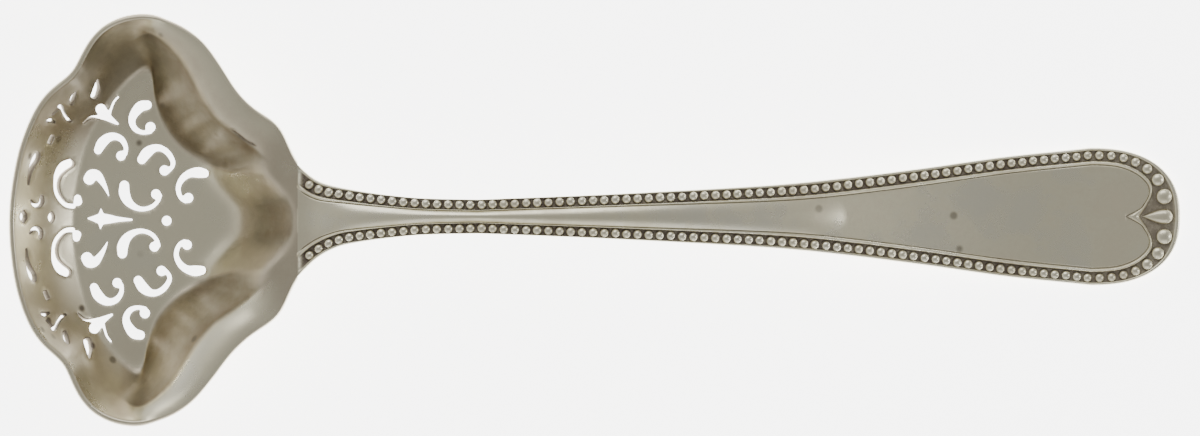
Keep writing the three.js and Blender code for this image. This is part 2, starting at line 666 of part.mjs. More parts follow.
// The points of one half row across the handle: over the top from the edge to the axis, and below.
function handleRow(part) {
  const edge = edgeAt(part);
  const inwards = inwardsAt(part);
  const { margin, near, crest, far } = borderInsets(edge);
  const flat = smooth(edge.x, tip - flatFromTip - flatFade, tip - flatFromTip + flatFade);
  const crown = stemCrown * (1 - flat) * smooth(edge.x, seam, seam + crownFade);
  const at = (inset, drop) => {
    const x = edge.x + inwards.x * inset;
    const y = part < 1 ? edge.y + inwards.y * inset : 0;
    return new THREE.Vector3(x, y, topHeight(x) - drop);
  };
  const inner = at(far, 0);
  const axis = new THREE.Vector3(Math.min(inner.x, heartCusp), 0, 0);
  const half = inner.clone().lerp(axis, 0.5);
  half.z = topHeight(half.x) + crown * crownShoulderShare;
  axis.z = topHeight(axis.x) + crown;
  const bevel = Math.min(undersideBevel, thickness(edge.x) / 2);
  const low = (share, rise) => {
    const x = mix(axis.x, edge.x, share);
    return new THREE.Vector3(x, edge.y * share, undersideHeight(x) + rise);
  };
  const channel = [at(margin, channelDepth), at(near, channelDepth)];
  const edges = [at(margin / 2, 0), at(0, channelDepth), low(1, bevel)];
  return {
    channel,
    outside: [channel[0], ...edges, low(undersideFlatShare, 0), low(0, 0)],
    inside: [axis, half, inner, at(crest, -threadHeight), channel[1]],
  };
}

// Walks back from the tip along the middle line of the beads, and gives the drop's and the beads'
// cells: where each begins and ends on the walk of the edge, and the bead in it.
function beadCells() {
  const cells = [];
  const lineAt = (part) => {
    const edge = edgeAt(part);
    const inwards = inwardsAt(part);
    const { margin, diameter, pitch } = borderInsets(edge);
    const at = edge.clone().addScaledVector(inwards, margin + diameter / 2);
    return { at, diameter, pitch, inwards };
  };
  let before = lineAt(1);
  let walked = 0;
  let centre = null;
  let from = 1;
  let next = (dropWidth + dropGap) / 2;
  for (let i = walkSteps - 1; i > 0; i -= 1) {
    const part = i / walkSteps;
    const here = lineAt(part);
    walked += here.at.distanceTo(before.at);
    before = here;
    if (walked >= next && centre === null && cells.length > 0) {
      centre = { part, ...here };
      next = walked + here.pitch / 2;
    } else if (walked >= next) {
      cells.push({ from, to: part, centre });
      next = walked + here.pitch / 2;
      from = part;
      centre = null;
    }
  }
  return cells;
}

// The floor of the channel round a raised form, and the form itself: a foot, and a smaller flat top.
function raised(outline, foot, floorAt, topShare, height) {
  const faces = [];
  const all = [...outline, ...foot].map((at) => new THREE.Vector3(at.x, at.y, floorAt(at)));
  for (const corners of THREE.ShapeUtils.triangulateShape(outline, [foot])) {
    faces.push(...corners.map((corner) => all[corner]));
  }
  const middle = foot.reduce((sum, at) => sum.add(at), new THREE.Vector2()).divideScalar(foot.length);
  const low = all.slice(outline.length);
  const high = foot.map((at) => {
    const inner = at.clone().lerp(middle, 1 - topShare);
    return new THREE.Vector3(inner.x, inner.y, floorAt(middle) + height);
  });
  low.forEach((corner, i) => {
    const j = (i + 1) % low.length;
    faces.push(corner, low[j], high[i], low[j], high[j], high[i]);
    if (i > 0 && j > 0) faces.push(high[0], high[i], high[j]);
  });
  return faces;
}

const channelFloor = (at) => topHeight(at.x) - channelDepth;

function beadFaces({ at, diameter, inwards }, outline) {
  const foot = [];
  for (let i = 0; i < beadSides; i += 1) {
    const angle = inwards.angle() + (2 * Math.PI * (i + 0.5)) / beadSides;
    const out = new THREE.Vector2(Math.cos(angle), Math.sin(angle));
    foot.push(at.clone().addScaledVector(out, diameter / 2));
  }
  const height = beadHeight * Math.sqrt(diameter / beadDiameter);
  return raised(outline, foot, channelFloor, beadTopShare, height);
}

// The drop at the tip, round towards the edge and pointed towards the heart.
function dropFaces(outline) {
  const radius = dropWidth / 2;
  const middle = tip - dropMargin - radius;
  const foot = [new THREE.Vector2(tip - dropMargin - dropLength, 0)];
  for (let i = 0; i <= dropSides; i += 1) {
    const angle = mix(-dropRoundShare, dropRoundShare, i / dropSides) * Math.PI;
    foot.push(new THREE.Vector2(middle + radius * Math.cos(angle), radius * Math.sin(angle)));
  }
  return raised(outline, foot, channelFloor, dropTopShare, dropHeight);
}

// The faces between two rows of points of the same length.
function strip(a, b) {
  const faces = [];
  for (let i = 0; i < a.length - 1; i += 1) faces.push(a[i], b[i], a[i + 1], b[i], b[i + 1], a[i + 1]);
  return faces;
}

// Where the rows of points across the handle lie, and the number of the first row of each cell.
function walkRows(cells) {
  const parts = [0];
  const firsts = [];
  for (const { from, to, centre } of cells) {
    firsts.push(parts.length);
    parts.push(to);
    if (centre && edgeAt(centre.part).x > widest) parts.push(centre.part);
    if (!centre) for (let i = 1; i < dropRows; i += 1) parts.push(mix(to, from, i / dropRows));
  }
  parts.push(1);
  return { rows: parts.map(handleRow), firsts };
}

function handleBlank() {
  const cells = beadCells().reverse();
  const { rows, firsts } = walkRows(cells);
  const channelFaces = (a, b) => strip(a.channel.slice().reverse(), b.channel.slice().reverse());
  const side = channelFaces(rows[0], rows[1]);
  for (let r = 0; r < rows.length - 1; r += 1) {
    side.push(...strip(rows[r].outside, rows[r + 1].outside));
    side.push(...strip(rows[r].inside, rows[r + 1].inside));
  }
  const plan = (point) => new THREE.Vector2(point.x, point.y);
  const sides = cells.map((_, k) => {
    const within = rows.slice(firsts[k], (firsts[k + 1] ?? rows.length - 1) + 1);
    const [outer, inner] = [0, 1].map((line) => within.map((row) => plan(row.channel[line])));
    return { within, inner, outer };
  });
  const tipSides = sides.pop();
  sides.forEach(({ within, inner, outer }, k) => {
    const { centre } = cells[k];
    const cell = [...inner, ...outer.reverse()];
    const hasBead = centre.at.x > seam + firstBeadFromSeam;
    side.push(...(hasBead ? beadFaces(centre, cell) : channelFaces(within[0], within[1])));
  });
  const across = (at) => new THREE.Vector2(at.x, -at.y);
  const dropOutline = [
    ...tipSides.inner, ...tipSides.inner.slice(0, -1).reverse().map(across),
    ...tipSides.outer.map(across), ...tipSides.outer.slice(0, -1).reverse(),
  ];
  const faces = [...side, ...dropFaces(dropOutline)];
  for (let i = 0; i < side.length; i += 3) {
    faces.push(flipped(side[i]), flipped(side[i + 2]), flipped(side[i + 1]));
  }
  const half = [...rows[0].inside, ...rows[0].outside];
  const end = [...half, ...half.slice(1, -1).reverse().map(flipped)];
  const section = end.map((point) => new THREE.Vector2(point.y, point.z));
  for (const [a, b, c] of THREE.ShapeUtils.triangulateShape(section, [])) {
    faces.push(end[a], end[c], end[b]);
  }
  return toSolid(new THREE.BufferGeometry().setFromPoints(faces));
}

// The sloping plane of the lap under the ramp of the bowl, from the seam down to the heel's blunt end.
function lapPlane() {
  const low = seam - heelReach;
  return {
    from: new THREE.Vector2(seam, rampHeight(seam) - lapDepth),
    to: new THREE.Vector2(low, rampHeight(low) - lapDepth),
  };
}

// The heel: a tongue that carries the handle on under the ramp of the bowl.
function heel() {
  const { from, to } = lapPlane();
  const rows = [];
  for (let i = 0; i <= heelSteps; i += 1) {
    const x = mix(to.x, seam + heelBack, i / heelSteps);
    const under = Math.min((x - to.x) / heelReach, 1);
    const behind = Math.max((x - seam) / heelBack, 0);
    const lap = mix(to.y, from.y, under);
    const deep = mix(heelToeThickness, rootThickness - lapDepth + heelProud, under);
    const bottom = mix(lap - deep, undersideHeight(x) + heelProud, smooth(behind, 0, 1));
    const high = mix(lap + lapDepth / 2, bottom + heelProud, behind);
    const wide = mix(heelToeWidth, heelWidth, Math.sqrt(under * (2 - under)));
    const half = Math.min(wide / 2, halfWidth(Math.max(x, seam)) * heelSpanShare);
    const curl = heelCrown * (1 - behind);
    rows.push([
      new THREE.Vector3(x, -half, high),
      new THREE.Vector3(x, -half, bottom + curl),
      new THREE.Vector3(x, -half * heelFlatShare, bottom),
      new THREE.Vector3(x, half * heelFlatShare, bottom),
      new THREE.Vector3(x, half, bottom + curl),
      new THREE.Vector3(x, half, high),
    ]);
  }
  return toSolid(skin(rows));
}

// All that lies on the handle's side of the joint, less a film of the given thickness.
function handleSide(film) {
  const { from, to } = lapPlane();
  const far = bowlDepth * 3;
  const slope = from.clone().sub(to).normalize();
  const down = new THREE.Vector2(slope.y, -slope.x).multiplyScalar(film);
  const planeAt = (x) => from.y + down.y + ((x - from.x - down.x) * slope.y) / slope.x;
  const outline = new THREE.Shape([
    new THREE.Vector2(to.x - bowlGauge, -far),
    new THREE.Vector2(tip + far, -far),
    new THREE.Vector2(tip + far, far),
    new THREE.Vector2(seam + film, far),
    new THREE.Vector2(seam + film, planeAt(seam + film)),
    new THREE.Vector2(to.x - bowlGauge, planeAt(to.x - bowlGauge)),
  ]);
  const geometry = new THREE.ExtrudeGeometry(outline, { depth: bowlWidth, bevelEnabled: false });
  geometry.translate(0, 0, -bowlHalf);
  geometry.rotateX(Math.PI / 2);
  return toSolid(geometry);
}

// All that lies on the bowl's side of the seam.
function bowlSide() {
  const size = bowlLength * 2;
  const box = new THREE.BoxGeometry(size, bowlWidth * 2, size);
  return toSolid(box.translate(seam - size / 2, 0, 0));
}

const piercedShell = setAskew(bowlShell().intersect(bowlSide()).subtract(piercings()));
const heeledHandle = setAskew(handleBlank().add(heel())).intersect(handleSide(0));
const bowlSolid = piercedShell.subtract(heeledHandle);
const handleSolid = heeledHandle.intersect(handleSide(solderFilm));
const solderSolid = heeledHandle.subtract(handleSide(solderFilm));

function silver(colour, roughness) {
  return new THREE.MeshStandardMaterial({ color: colour, roughness, metalness: 1 });
}

function named(name, solid, material) {
  const mesh = new THREE.Mesh(toGeometry(solid), material);
  mesh.name = name;
  return mesh;
}

const spoon = new THREE.Group();
spoon.add(named('bowl', bowlSolid, silver(0xb9b5a6, 0.34)));
spoon.add(named('handle', handleSolid, silver(0xbdb9ab, 0.36)));
spoon.add(named('neck_solder', solderSolid, silver(0xa7a396, 0.45)));

export default spoon;
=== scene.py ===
"""A silver sugar sifter spoon, lying on its back on a white table and seen from straight above."""

import math
import random
from collections import Counter

import bpy
import bmesh
import numpy as np
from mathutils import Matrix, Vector, geometry
from mathutils.bvhtree import BVHTree


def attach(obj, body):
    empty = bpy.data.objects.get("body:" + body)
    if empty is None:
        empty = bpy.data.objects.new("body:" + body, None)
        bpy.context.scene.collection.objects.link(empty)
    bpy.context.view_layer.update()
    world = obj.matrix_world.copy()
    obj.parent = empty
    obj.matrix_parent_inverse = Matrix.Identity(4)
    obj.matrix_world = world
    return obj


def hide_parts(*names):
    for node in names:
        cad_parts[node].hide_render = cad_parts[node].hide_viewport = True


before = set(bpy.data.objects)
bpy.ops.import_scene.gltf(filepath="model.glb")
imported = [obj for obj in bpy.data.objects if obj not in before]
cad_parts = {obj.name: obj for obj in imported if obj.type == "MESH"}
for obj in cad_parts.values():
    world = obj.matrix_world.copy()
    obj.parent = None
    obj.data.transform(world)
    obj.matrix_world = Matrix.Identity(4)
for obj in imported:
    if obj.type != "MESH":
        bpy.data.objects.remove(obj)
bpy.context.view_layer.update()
random.seed(7)

# BOWL
# One sheet of silver, raised over stakes into a flat floor, a steep front wall and two deep side
# lobes, with its back lip flared outwards. The scrolls are sawn by hand, and use has worn all its
# edges round. Sizes here are in millimetres, and meshes are made in metres.

MM = 0.001
FRONT, SEAM = -79.95, -41.35
BOWL_LENGTH, BOWL_HALF, BOWL_DEPTH = 38.6, 27.4, 11.6
GAUGE, NECK_GAUGE, NECK_HEIGHT = 0.9, 1.4, 11.4
RAMP_BLEND, RAMP_SKEW = 0.8, 1.6
VALLEY_REACH, VALLEY_FLOOR_HALF, VALLEY_HALF = 4.2, 1.0, 8.0
WALL_CURL, POCKET_CURL, RIM_ROUNDNESS = 0.5, 0.3, 0.36
BOWL_TURN, BOWL_SHIFT, SHIFT_FADE = 1.7, 0.55, 7.0
FLOOR_MIDDLE, WALL_BREAK = 0.496, 0.62
RAMP_SHARES, THICKEN_SHARES = (0.64, 1.01), (0.86, 0.99)
SCROLL_RADIUS = 0.72
# Ribs are counted from the middle of the front round to the neck, one for each point of FLOOR.
FRONT_RIBS, FOLD_FIRST, FOLD_BEFORE, FOLD_AFTER = 4, 7, 0.6, 1

# Lines on the bowl in thousandths of its length, its half width and, as a third number, its depth.
FLOOR = [
    (196, 0), (200, 126), (218, 277), (246, 423), (279, 519), (318, 605), (368, 690), (425, 761),
    (454, 756), (464, 665), (482, 564), (518, 463), (582, 368), (668, 302), (768, 262), (846, 232),
    (889, 141), (904, 0),
]
FRONT_RIM = [(0, 0, 900), (12.5, 212, 900), (43, 403, 900), (104, 584, 900), (207, 705, 920)]
SIDE_RIM = [
    (207, 705, 920), (261, 866, 950), (325, 955, 980), (418, 997, 1000), (525, 987, 1000),
    (629, 907, 1000), (704, 781, 990), (764, 660, 990), (825, 572, 990), (886, 512, 985),
    (939, 445, 960), (982, 312, 910), (1025, 215, 880), (1075, 0, 880),
]
FOLD = [
    (410, 965, 930), (489, 917, 900), (561, 826, 870), (611, 720, 860), (654, 615, 860),
    (711, 509, 870), (786, 433, 885), (868, 338, 890), (929, 272, 880), (980, 210, 880),
]

# Openings of one side, and those on the axis, each of one or more strokes. A stroke is a row of
# points in the same thousandths, with its half width in hundredths of a scroll's widest.
SCROLLS = [
    [[(441, 579, 87), (416, 569, 100), (393, 526, 79), (389, 489, 63), (402, 456, 52),
     (427, 441, 40), (455, 445, 38)], [(455, 468, 98)]],
    [[(271, 345, 77), (285, 383, 96), (307, 410, 83), (332, 416, 65), (355, 400, 56),
     (369, 365, 44), (368, 332, 42)], [(353, 320, 92)]],
    [[(428, 305, 88), (446, 340, 100), (471, 363, 73), (496, 363, 58), (521, 340, 54),
     (538, 302, 46), (537, 274, 42), (523, 249, 38)], [(510, 253, 96)]],
    [[(652, 243, 85), (630, 247, 100), (604, 243, 77), (579, 221, 63), (563, 184, 50),
     (562, 149, 46), (572, 117, 42), (588, 101, 38)], [(598, 118, 94)]],
    [[(243, 199, 108), (252, 219, 106), (271, 217, 87), (289, 186, 58), (303, 151, 35),
     (313, 118, 12)]],
    [[(368, 171, 92), (369, 133, 104), (382, 93, 85), (407, 65, 58), (437, 55, 42), (468, 68, 42),
     (489, 97, 38), (497, 126, 37)], [(482, 132, 94)]],
    [[(175, 272, 85), (155, 254, 96), (138, 217, 73), (132, 171, 54), (135, 128, 52), (147, 93, 50),
     (167, 65, 44), (191, 58, 42)], [(204, 101, 62), (205, 83, 77)]],
    [[(70, 317, 31), (64, 292, 58), (53, 257, 42), (44, 212, 27), (40, 161, 13)]],
    [[(83, 101, 31), (84, 76, 38), (75, 58, 37), (60, 60, 27), (48, 83, 12)]],
    [[(100, 478, 15), (111, 484, 35), (122, 478, 23)]],
    [[(107, 375, 35), (116, 405, 35)]],
    [[(117, 514, 12), (134, 539, 19), (146, 557, 25), (157, 519, 25), (169, 491, 25),
     (178, 486, 19)]],
    [[(180, 572, 31), (187, 599, 40), (196, 625, 23)]],
    [[(270, 695, 15), (266, 652, 56), (258, 614, 65)]],
    [[(280, 549, 100), (294, 521, 83), (316, 499, 50), (337, 481, 23)], [(305, 514, 31),
     (312, 549, 21), (323, 589, 19), (337, 614, 17)], [(219, 478, 13), (241, 504, 23),
     (266, 511, 31), (294, 509, 48)]],
]
ON_AXIS = [
    [[(243, 0, 15), (262, 0, 50), (287, 0, 96), (312, 0, 88), (348, 0, 50), (398, 0, 19)],
     [(287, 48, 13), (289, 0, 69), (287, -48, 13)]],
    [[(523, 0, 94)]],
    [[(117, 27, 10), (117, 0, 58), (117, -27, 10)]],
    [[(28, 29, 10), (28, 0, 58), (28, -29, 10)]],
]


def mix(a, b, share):
    return a + (b - a) * share


def smooth(x, low, high):
    t = np.clip((x - low) / (high - low), 0, 1)
    return t * t * (3 - 2 * t)


def along_bowl(share):
    return FRONT + share * BOWL_LENGTH


def on_bowl(thousandths):
    """Points on the bowl in millimetres, from thousandths of its length, half width and depth."""
    shares = np.array([tuple(p) + (0,) * (3 - len(p)) for p in thousandths], float) / 1000
    return shares * [BOWL_LENGTH, BOWL_HALF, BOWL_DEPTH] + [FRONT, 0, 0]


def spline(points, at, from_axis=False, to_axis=False):
    """Points of a smooth curve through given ones, which goes on mirrored at an end on the axis."""
    p = np.asarray(points, float)
    flip = np.array([1, -1, 1])[: p.shape[1]]
    first = p[1] * flip if from_axis else 2 * p[0] - p[1]
    last = p[-2] * flip if to_axis else 2 * p[-1] - p[-2]
    p = np.vstack([first, p, last])
    at = np.asarray(at, float)
    i = np.clip(np.floor(at).astype(int), 0, len(points) - 2)
    t = (at - i)[..., None]
    a, b, c, d = p[i], p[i + 1], p[i + 2], p[i + 3]
    square, cube = 2 * a - 5 * b + 4 * c - d, 3 * b - a - 3 * c + d
    return 0.5 * (2 * b + (c - a) * t + square * t**2 + cube * t**3)


def higher(a, b):
    """The higher of two heights, rounded where they cross."""
    near = np.maximum(RAMP_BLEND - np.abs(a - b), 0)
    return np.maximum(a, b) + near * near / (4 * RAMP_BLEND)


def ramp_height(x, y):
    """Height of the ramp, with the valley that runs up it to the handle."""
    start, end = (along_bowl(share) for share in RAMP_SHARES)
    early = VALLEY_REACH * smooth(np.abs(y), VALLEY_FLOOR_HALF, VALLEY_HALF)
    part = np.clip((x + early - start) / (end - start), 0, 1)
    return mix(GAUGE - RAMP_BLEND, NECK_HEIGHT, smooth(part**RAMP_SKEW, 0, 1))


def inner_face(ribs, ring):
    """One ring of the bowl's inner face: 0 is the middle of the floor, 1 its edge and 2 the rim."""
    foot = spline(on_bowl(FLOOR), ribs, True, True)
    if ring <= 1:
        points = mix(np.array([along_bowl(FLOOR_MIDDLE), 0, 0]), foot, ring)
        points[:, 2] = higher(GAUGE, ramp_height(points[:, 0], points[:, 1]))
        return points
    up = ring - 1
    front = spline(on_bowl(FRONT_RIM), np.minimum(ribs, FRONT_RIBS), True)
    side = spline(on_bowl(SIDE_RIM), np.maximum(ribs - FRONT_RIBS, 0), False, True)
    rim = np.where((ribs < FRONT_RIBS)[:, None], front, side)
    fold = spline(on_bowl(FOLD), np.clip(ribs - FOLD_FIRST, 0, len(FOLD) - 1))
    plain = mix(foot, rim, up)
    plain[:, 2] = mix(GAUGE, rim[:, 2], up * (1 - WALL_CURL + WALL_CURL * up**2))
    if up < WALL_BREAK:
        part = up / WALL_BREAK
        bent = mix(foot, fold, part)
        bent[:, 2] = mix(GAUGE, fold[:, 2], part * (1 - POCKET_CURL + POCKET_CURL * part))
    else:
        part = (up - WALL_BREAK) / (1 - WALL_BREAK)
        bent = mix(fold, rim, part)
        bent[:, 2] = mix(fold[:, 2], rim[:, 2], part * (2 - part))
    last = FOLD_FIRST + len(FOLD) - 1
    begun = smooth(ribs, FOLD_FIRST - FOLD_BEFORE, FOLD_FIRST + FOLD_AFTER)
    folded = begun * (1 - smooth(ribs, last - FOLD_AFTER, last + FOLD_BEFORE))
    points = mix(plain, bent, folded[:, None])
    points[:, 2] = higher(points[:, 2], ramp_height(points[:, 0], points[:, 1]))
    return points


def blur(grid, axis, reach, closed):
    """Rounds creases of a grid of points along one way, and leaves open ends where they are."""
    span = int(3 * reach)
    weights = np.exp(-0.5 * (np.arange(-span, span + 1) / reach) ** 2)
    weights /= weights.sum()
    pad = [(span, span) if k == axis else (0, 0) for k in range(3)]
    ends = {"mode": "wrap"} if closed else {"mode": "reflect", "reflect_type": "odd"}
    wide = np.pad(grid, pad, **ends)
    size = grid.shape[axis]
    return sum(w * np.take(wide, range(k, k + size), axis) for k, w in enumerate(weights))


# The grid of the sheet: steps from rib to rib, and rings from a circle at the floor's middle.
RIB_STEPS, FLOOR_CIRCLE, FLOOR_RINGS, WALL_RINGS = 8, 0.3, 24, 46
RING_BLUR, RIB_BLUR = 2.2, 2.0
RINGS = [FLOOR_CIRCLE + (1 - FLOOR_CIRCLE) * i / FLOOR_RINGS for i in range(FLOOR_RINGS + 1)]
RINGS += [1 + i / WALL_RINGS for i in range(1, WALL_RINGS + 1)]
half_ribs = np.linspace(0, len(FLOOR) - 1, (len(FLOOR) - 1) * RIB_STEPS + 1)
half = np.stack([inner_face(half_ribs, ring) for ring in RINGS])
sheet = np.concatenate([half, half[:, -2:0:-1] * [1, -1, 1]], axis=1)
sheet = blur(blur(sheet, 0, RING_BLUR, False), 1, RIB_BLUR, True)

ROWS, COLUMNS = sheet.shape[:2]
sheet_normals = np.cross(np.gradient(sheet, axis=0), np.roll(sheet, -1, 1) - np.roll(sheet, 1, 1))
sheet_normals /= np.linalg.norm(sheet_normals, axis=2, keepdims=True)
sheet_normals = np.where(sheet_normals[..., 2:] < 0, -sheet_normals, sheet_normals)


def cell_id(r, c):
    return r * COLUMNS + c % COLUMNS


# Tarnish and painted shade, from 0 on bare silver to 1: the film on the flats, and what each place
# has over it.
FILM, LOBE_FILM, BACK_FILM, RAMP_PAINTED_REFLECTION = 0.26, 0.05, 0.16, 0.34
FRONT_FILM, FRONT_FAR_PAINTED_SHADE, POCKET_FILM_AND_SHADE, POCKET_PAINTED_REFLECTION = 0.03, 0.33, 0.5, 0.14
LIP_FILM, LIP_FAR_PAINTED_SHADE, BACK_RUBBED = 0.2, 0.15, 0.6
# Where each starts and is full, or starts to end and has ended: by the sheet's lean, the share of
# the wall, the rib, and the millimetres along and across the bowl.
LEANING, STEEP = (0.002, 0.08), (0.03, 0.22)
FOOT_UP, WALL_UP, LIP_UP = (-0.08, 0.03), (0, 0.05), (WALL_BREAK - 0.04, WALL_BREAK + 0.03)
PAINTED_REFLECTION_UP, PAINTED_REFLECTION_END, LIP_END = (0.1, 0.3), (0.42, 0.62), (0.74, 0.92)
FRONT_LAST_RIB, LIP_LAST_RIB = (FOLD_FIRST - 1, FOLD_FIRST + 0.5), (13.5, 15)
PATCH_ALONG, PATCH_ACROSS, BACK_ALONG = (-50, -45.5), (1.6, 4.8), (-54, -46)
FRONT_ACROSS, LOBE_ACROSS, LIP_ACROSS = (5, 21), (4, 18), (2, 14)


def sheet_tarnish_and_painted_light():
    """Thin on flats, least on the lip, brown on walls and the ramp top, partly as painted shade."""
    up = np.array(RINGS)[:, None] - 1
    rib = np.concatenate([half_ribs, half_ribs[-2:0:-1]])[None, :]
    lean, along, across = 1 - sheet_normals[..., 2], sheet[..., 0], sheet[..., 1]
    steep = smooth(lean, *STEEP)
    front = 1 - smooth(rib, *FRONT_LAST_RIB)
    behind = (1 - front) * (1 - smooth(rib, *LIP_LAST_RIB))
    lip = behind * smooth(up, *LIP_UP)
    wall = steep * smooth(up, *WALL_UP)
    # Painted shade: the front wall is browner on its +Y side.
    front_wall = front * wall * (FRONT_FILM + FRONT_FAR_PAINTED_SHADE * smooth(across, *FRONT_ACROSS))
    # Painted reflection: a lighter band partway up the pockets. Their brown is partly tarnish and
    # partly painted shade.
    lighter = smooth(up, *PAINTED_REFLECTION_UP) * (1 - smooth(up, *PAINTED_REFLECTION_END))
    foot = smooth(lean, *LEANING) * smooth(up, *FOOT_UP)
    pocket = behind * (1 - lip) * foot * (POCKET_FILM_AND_SHADE - POCKET_PAINTED_REFLECTION * lighter)
    # Painted reflection: a brown patch at the top of the ramp, where the dark front wall is
    # mirrored.
    patch = smooth(along, *PATCH_ALONG) * (1 - smooth(np.abs(across), *PATCH_ACROSS)) * steep
    lobes = LOBE_FILM * smooth(np.abs(across), *LOBE_ACROSS) * (1 - lip)
    lobes += BACK_FILM * smooth(along, *BACK_ALONG) * (1 - BACK_RUBBED * lip)
    # Painted shade: the lip keeps more film on its +Y side.
    lip_film_and_shade = LIP_FILM + LIP_FAR_PAINTED_SHADE * smooth(across, *LIP_ACROSS)
    lip_lighter_by = lip * (FILM - mix(lip_film_and_shade, FILM, smooth(up, *LIP_END)))
    return FILM + lobes + front_wall + pocket + RAMP_PAINTED_REFLECTION * patch - lip_lighter_by


sheet_points = sheet.reshape(-1, 3)
flat_normals = sheet_normals.reshape(-1, 3)
flat_tarnish_and_painted_light = sheet_tarnish_and_painted_light().ravel()
cells = [(r, c) for r in range(ROWS - 1) for c in range(COLUMNS)]
quads = [
    (cell_id(r, c), cell_id(r, c + 1), cell_id(r + 1, c + 1), cell_id(r + 1, c)) for r, c in cells
]
floor_fan = [tuple(cell_id(0, c) for c in range(COLUMNS))]
sheet_tree = BVHTree.FromPolygons([tuple(p) for p in sheet_points], quads + floor_fan)
RAY_HEIGHT, SEEK_HEIGHT, TINY_AREA = 60, 6, 1e-6


def on_sheet(x, y):
    """The point of the inner face above a place on the plan, its normal, tarnish and painted shade.
    """
    place, normal, index, _ = sheet_tree.ray_cast((x, y, RAY_HEIGHT), (0, 0, -1))
    if place is None:
        place, normal, index, _ = sheet_tree.find_nearest((x, y, SEEK_HEIGHT))
    if index >= len(quads):
        return np.array([x, y, GAUGE]), np.array([0, 0, 1.0]), FILM
    corners = list(quads[index])
    gaps = np.linalg.norm(sheet_points[corners] - np.array(place), axis=1)
    weights = 1 / (gaps**2 + TINY_AREA)
    n = (flat_normals[corners] * weights[:, None]).sum(0)
    film_and_painted_light = (flat_tarnish_and_painted_light[corners] * weights).sum() / weights.sum()
    return np.array([x, y, place[2]]), n / np.linalg.norm(n), film_and_painted_light


def stroke_points(stroke):
    """A stroke's points and half widths in millimetres on the plan."""
    shares = np.array(stroke) / [1000, 1000, 100]
    return shares * [BOWL_LENGTH, BOWL_HALF, SCROLL_RADIUS] + [FRONT, 0, 0]


STROKE_STEPS, TINY_WAY = 7, 1e-9


def stroke_distance(points, x, y):
    """How far places on the plan lie outside a stroke. Inside it the distance is negative."""
    if len(points) == 1:
        return np.hypot(x - points[0, 0], y - points[0, 1]) - points[0, 2]
    fine = spline(points, np.linspace(0, len(points) - 1, (len(points) - 1) * STROKE_STEPS + 1))
    best = np.full(x.shape, np.inf)
    for a, b in zip(fine, fine[1:]):
        way = b[:2] - a[:2]
        walked = (x - a[0]) * way[0] + (y - a[1]) * way[1]
        share = np.clip(walked / max(way @ way, TINY_WAY), 0, 1)
        away = np.hypot(x - a[0] - way[0] * share, y - a[1] - way[1] * share)
        best = np.minimum(best, away - mix(a[2], b[2], share))
    return best


def around(items):
    """Each item with the one after it, and the last with the first."""
    return zip(items, items[1:] + items[:1])


def unordered(a, b):
    return min(a, b), max(a, b)


def outlines(field, cell, corner):
    """The closed outlines of a field of distances where it is zero, each as points in order."""
    links, places = {}, {}
    inside = field < 0
    base = inside[:-1, :-1]
    mixed = (base ^ inside[1:, :-1]) | (base ^ inside[:-1, 1:]) | (base ^ inside[1:, 1:])
    for j, i in zip(*np.nonzero(mixed)):
        corners = [(j, i), (j, i + 1), (j + 1, i + 1), (j + 1, i)]
        outgoing, incoming = [], []
        for a, b in around(corners):
            if inside[a] == inside[b]:
                continue
            key = unordered(a, b)
            row, column = mix(np.array(a), np.array(b), field[a] / (field[a] - field[b]))
            places[key] = (corner[0] + cell * column, corner[1] + cell * row)
            (outgoing if inside[a] else incoming).append(key)
        for start, end in zip(outgoing, incoming):
            links[start] = end
    loops = []
    while links:
        start = next(iter(links))
        loop, key = [], start
        while key in links:
            loop.append(places[key])
            key = links.pop(key)
        loops.append(np.array(loop))
    return loops


EDGE_ROUND, HOLE_CELL, HOLE_SPACING, HOLE_MARGIN = 0.08, 0.05, 0.17, 0.6
FEWEST_POINTS, SHORTEST_OUTLINE = 8, 12


def resampled(loop, spacing):
    closed = np.vstack([loop, loop[:1]])
    lengths = np.hypot(*np.diff(closed, axis=0).T)
    total = lengths.sum()
    at = np.linspace(0, total, max(int(total / spacing), FEWEST_POINTS), endpoint=False)
    walked = np.concatenate([[0], np.cumsum(lengths)])
    return np.stack([np.interp(at, walked, closed[:, k]) for k in (0, 1)], axis=1)


def opening_rings(strokes):
    """The rounded edge's outer ring on the sheet and the ring of the opening itself, in plan."""
    strokes = [stroke_points(stroke) for stroke in strokes]
    flat = np.vstack(strokes)
    reach = flat[:, 2].max() + HOLE_MARGIN
    low, high = flat[:, :2].min(axis=0) - reach, flat[:, :2].max(axis=0) + reach
    x, y = np.meshgrid(*(np.arange(low[k], high[k], HOLE_CELL) for k in (0, 1)))
    field = np.min([stroke_distance(stroke, x, y) for stroke in strokes], axis=0)
    slope_y, slope_x = np.gradient(field, HOLE_CELL)
    last_cell = np.array(field.shape[::-1]) - 1
    rings = []
    for loop in outlines(field - EDGE_ROUND, HOLE_CELL, low):
        if len(loop) < SHORTEST_OUTLINE:
            continue
        outer = resampled(loop, HOLE_SPACING)
        i, j = np.clip(np.round((outer - low) / HOLE_CELL).astype(int), 0, last_cell).T
        way = np.stack([slope_x[j, i], slope_y[j, i]], axis=1)
        rings.append((outer, outer - way * EDGE_ROUND))
    return rings


openings = []
for strokes in SCROLLS:
    for outer, inner in opening_rings(strokes):
        openings.append((outer, inner))
        openings.append((outer[::-1] * [1, -1], inner[::-1] * [1, -1]))
for strokes in ON_AXIS:
    openings.extend(opening_rings(strokes))


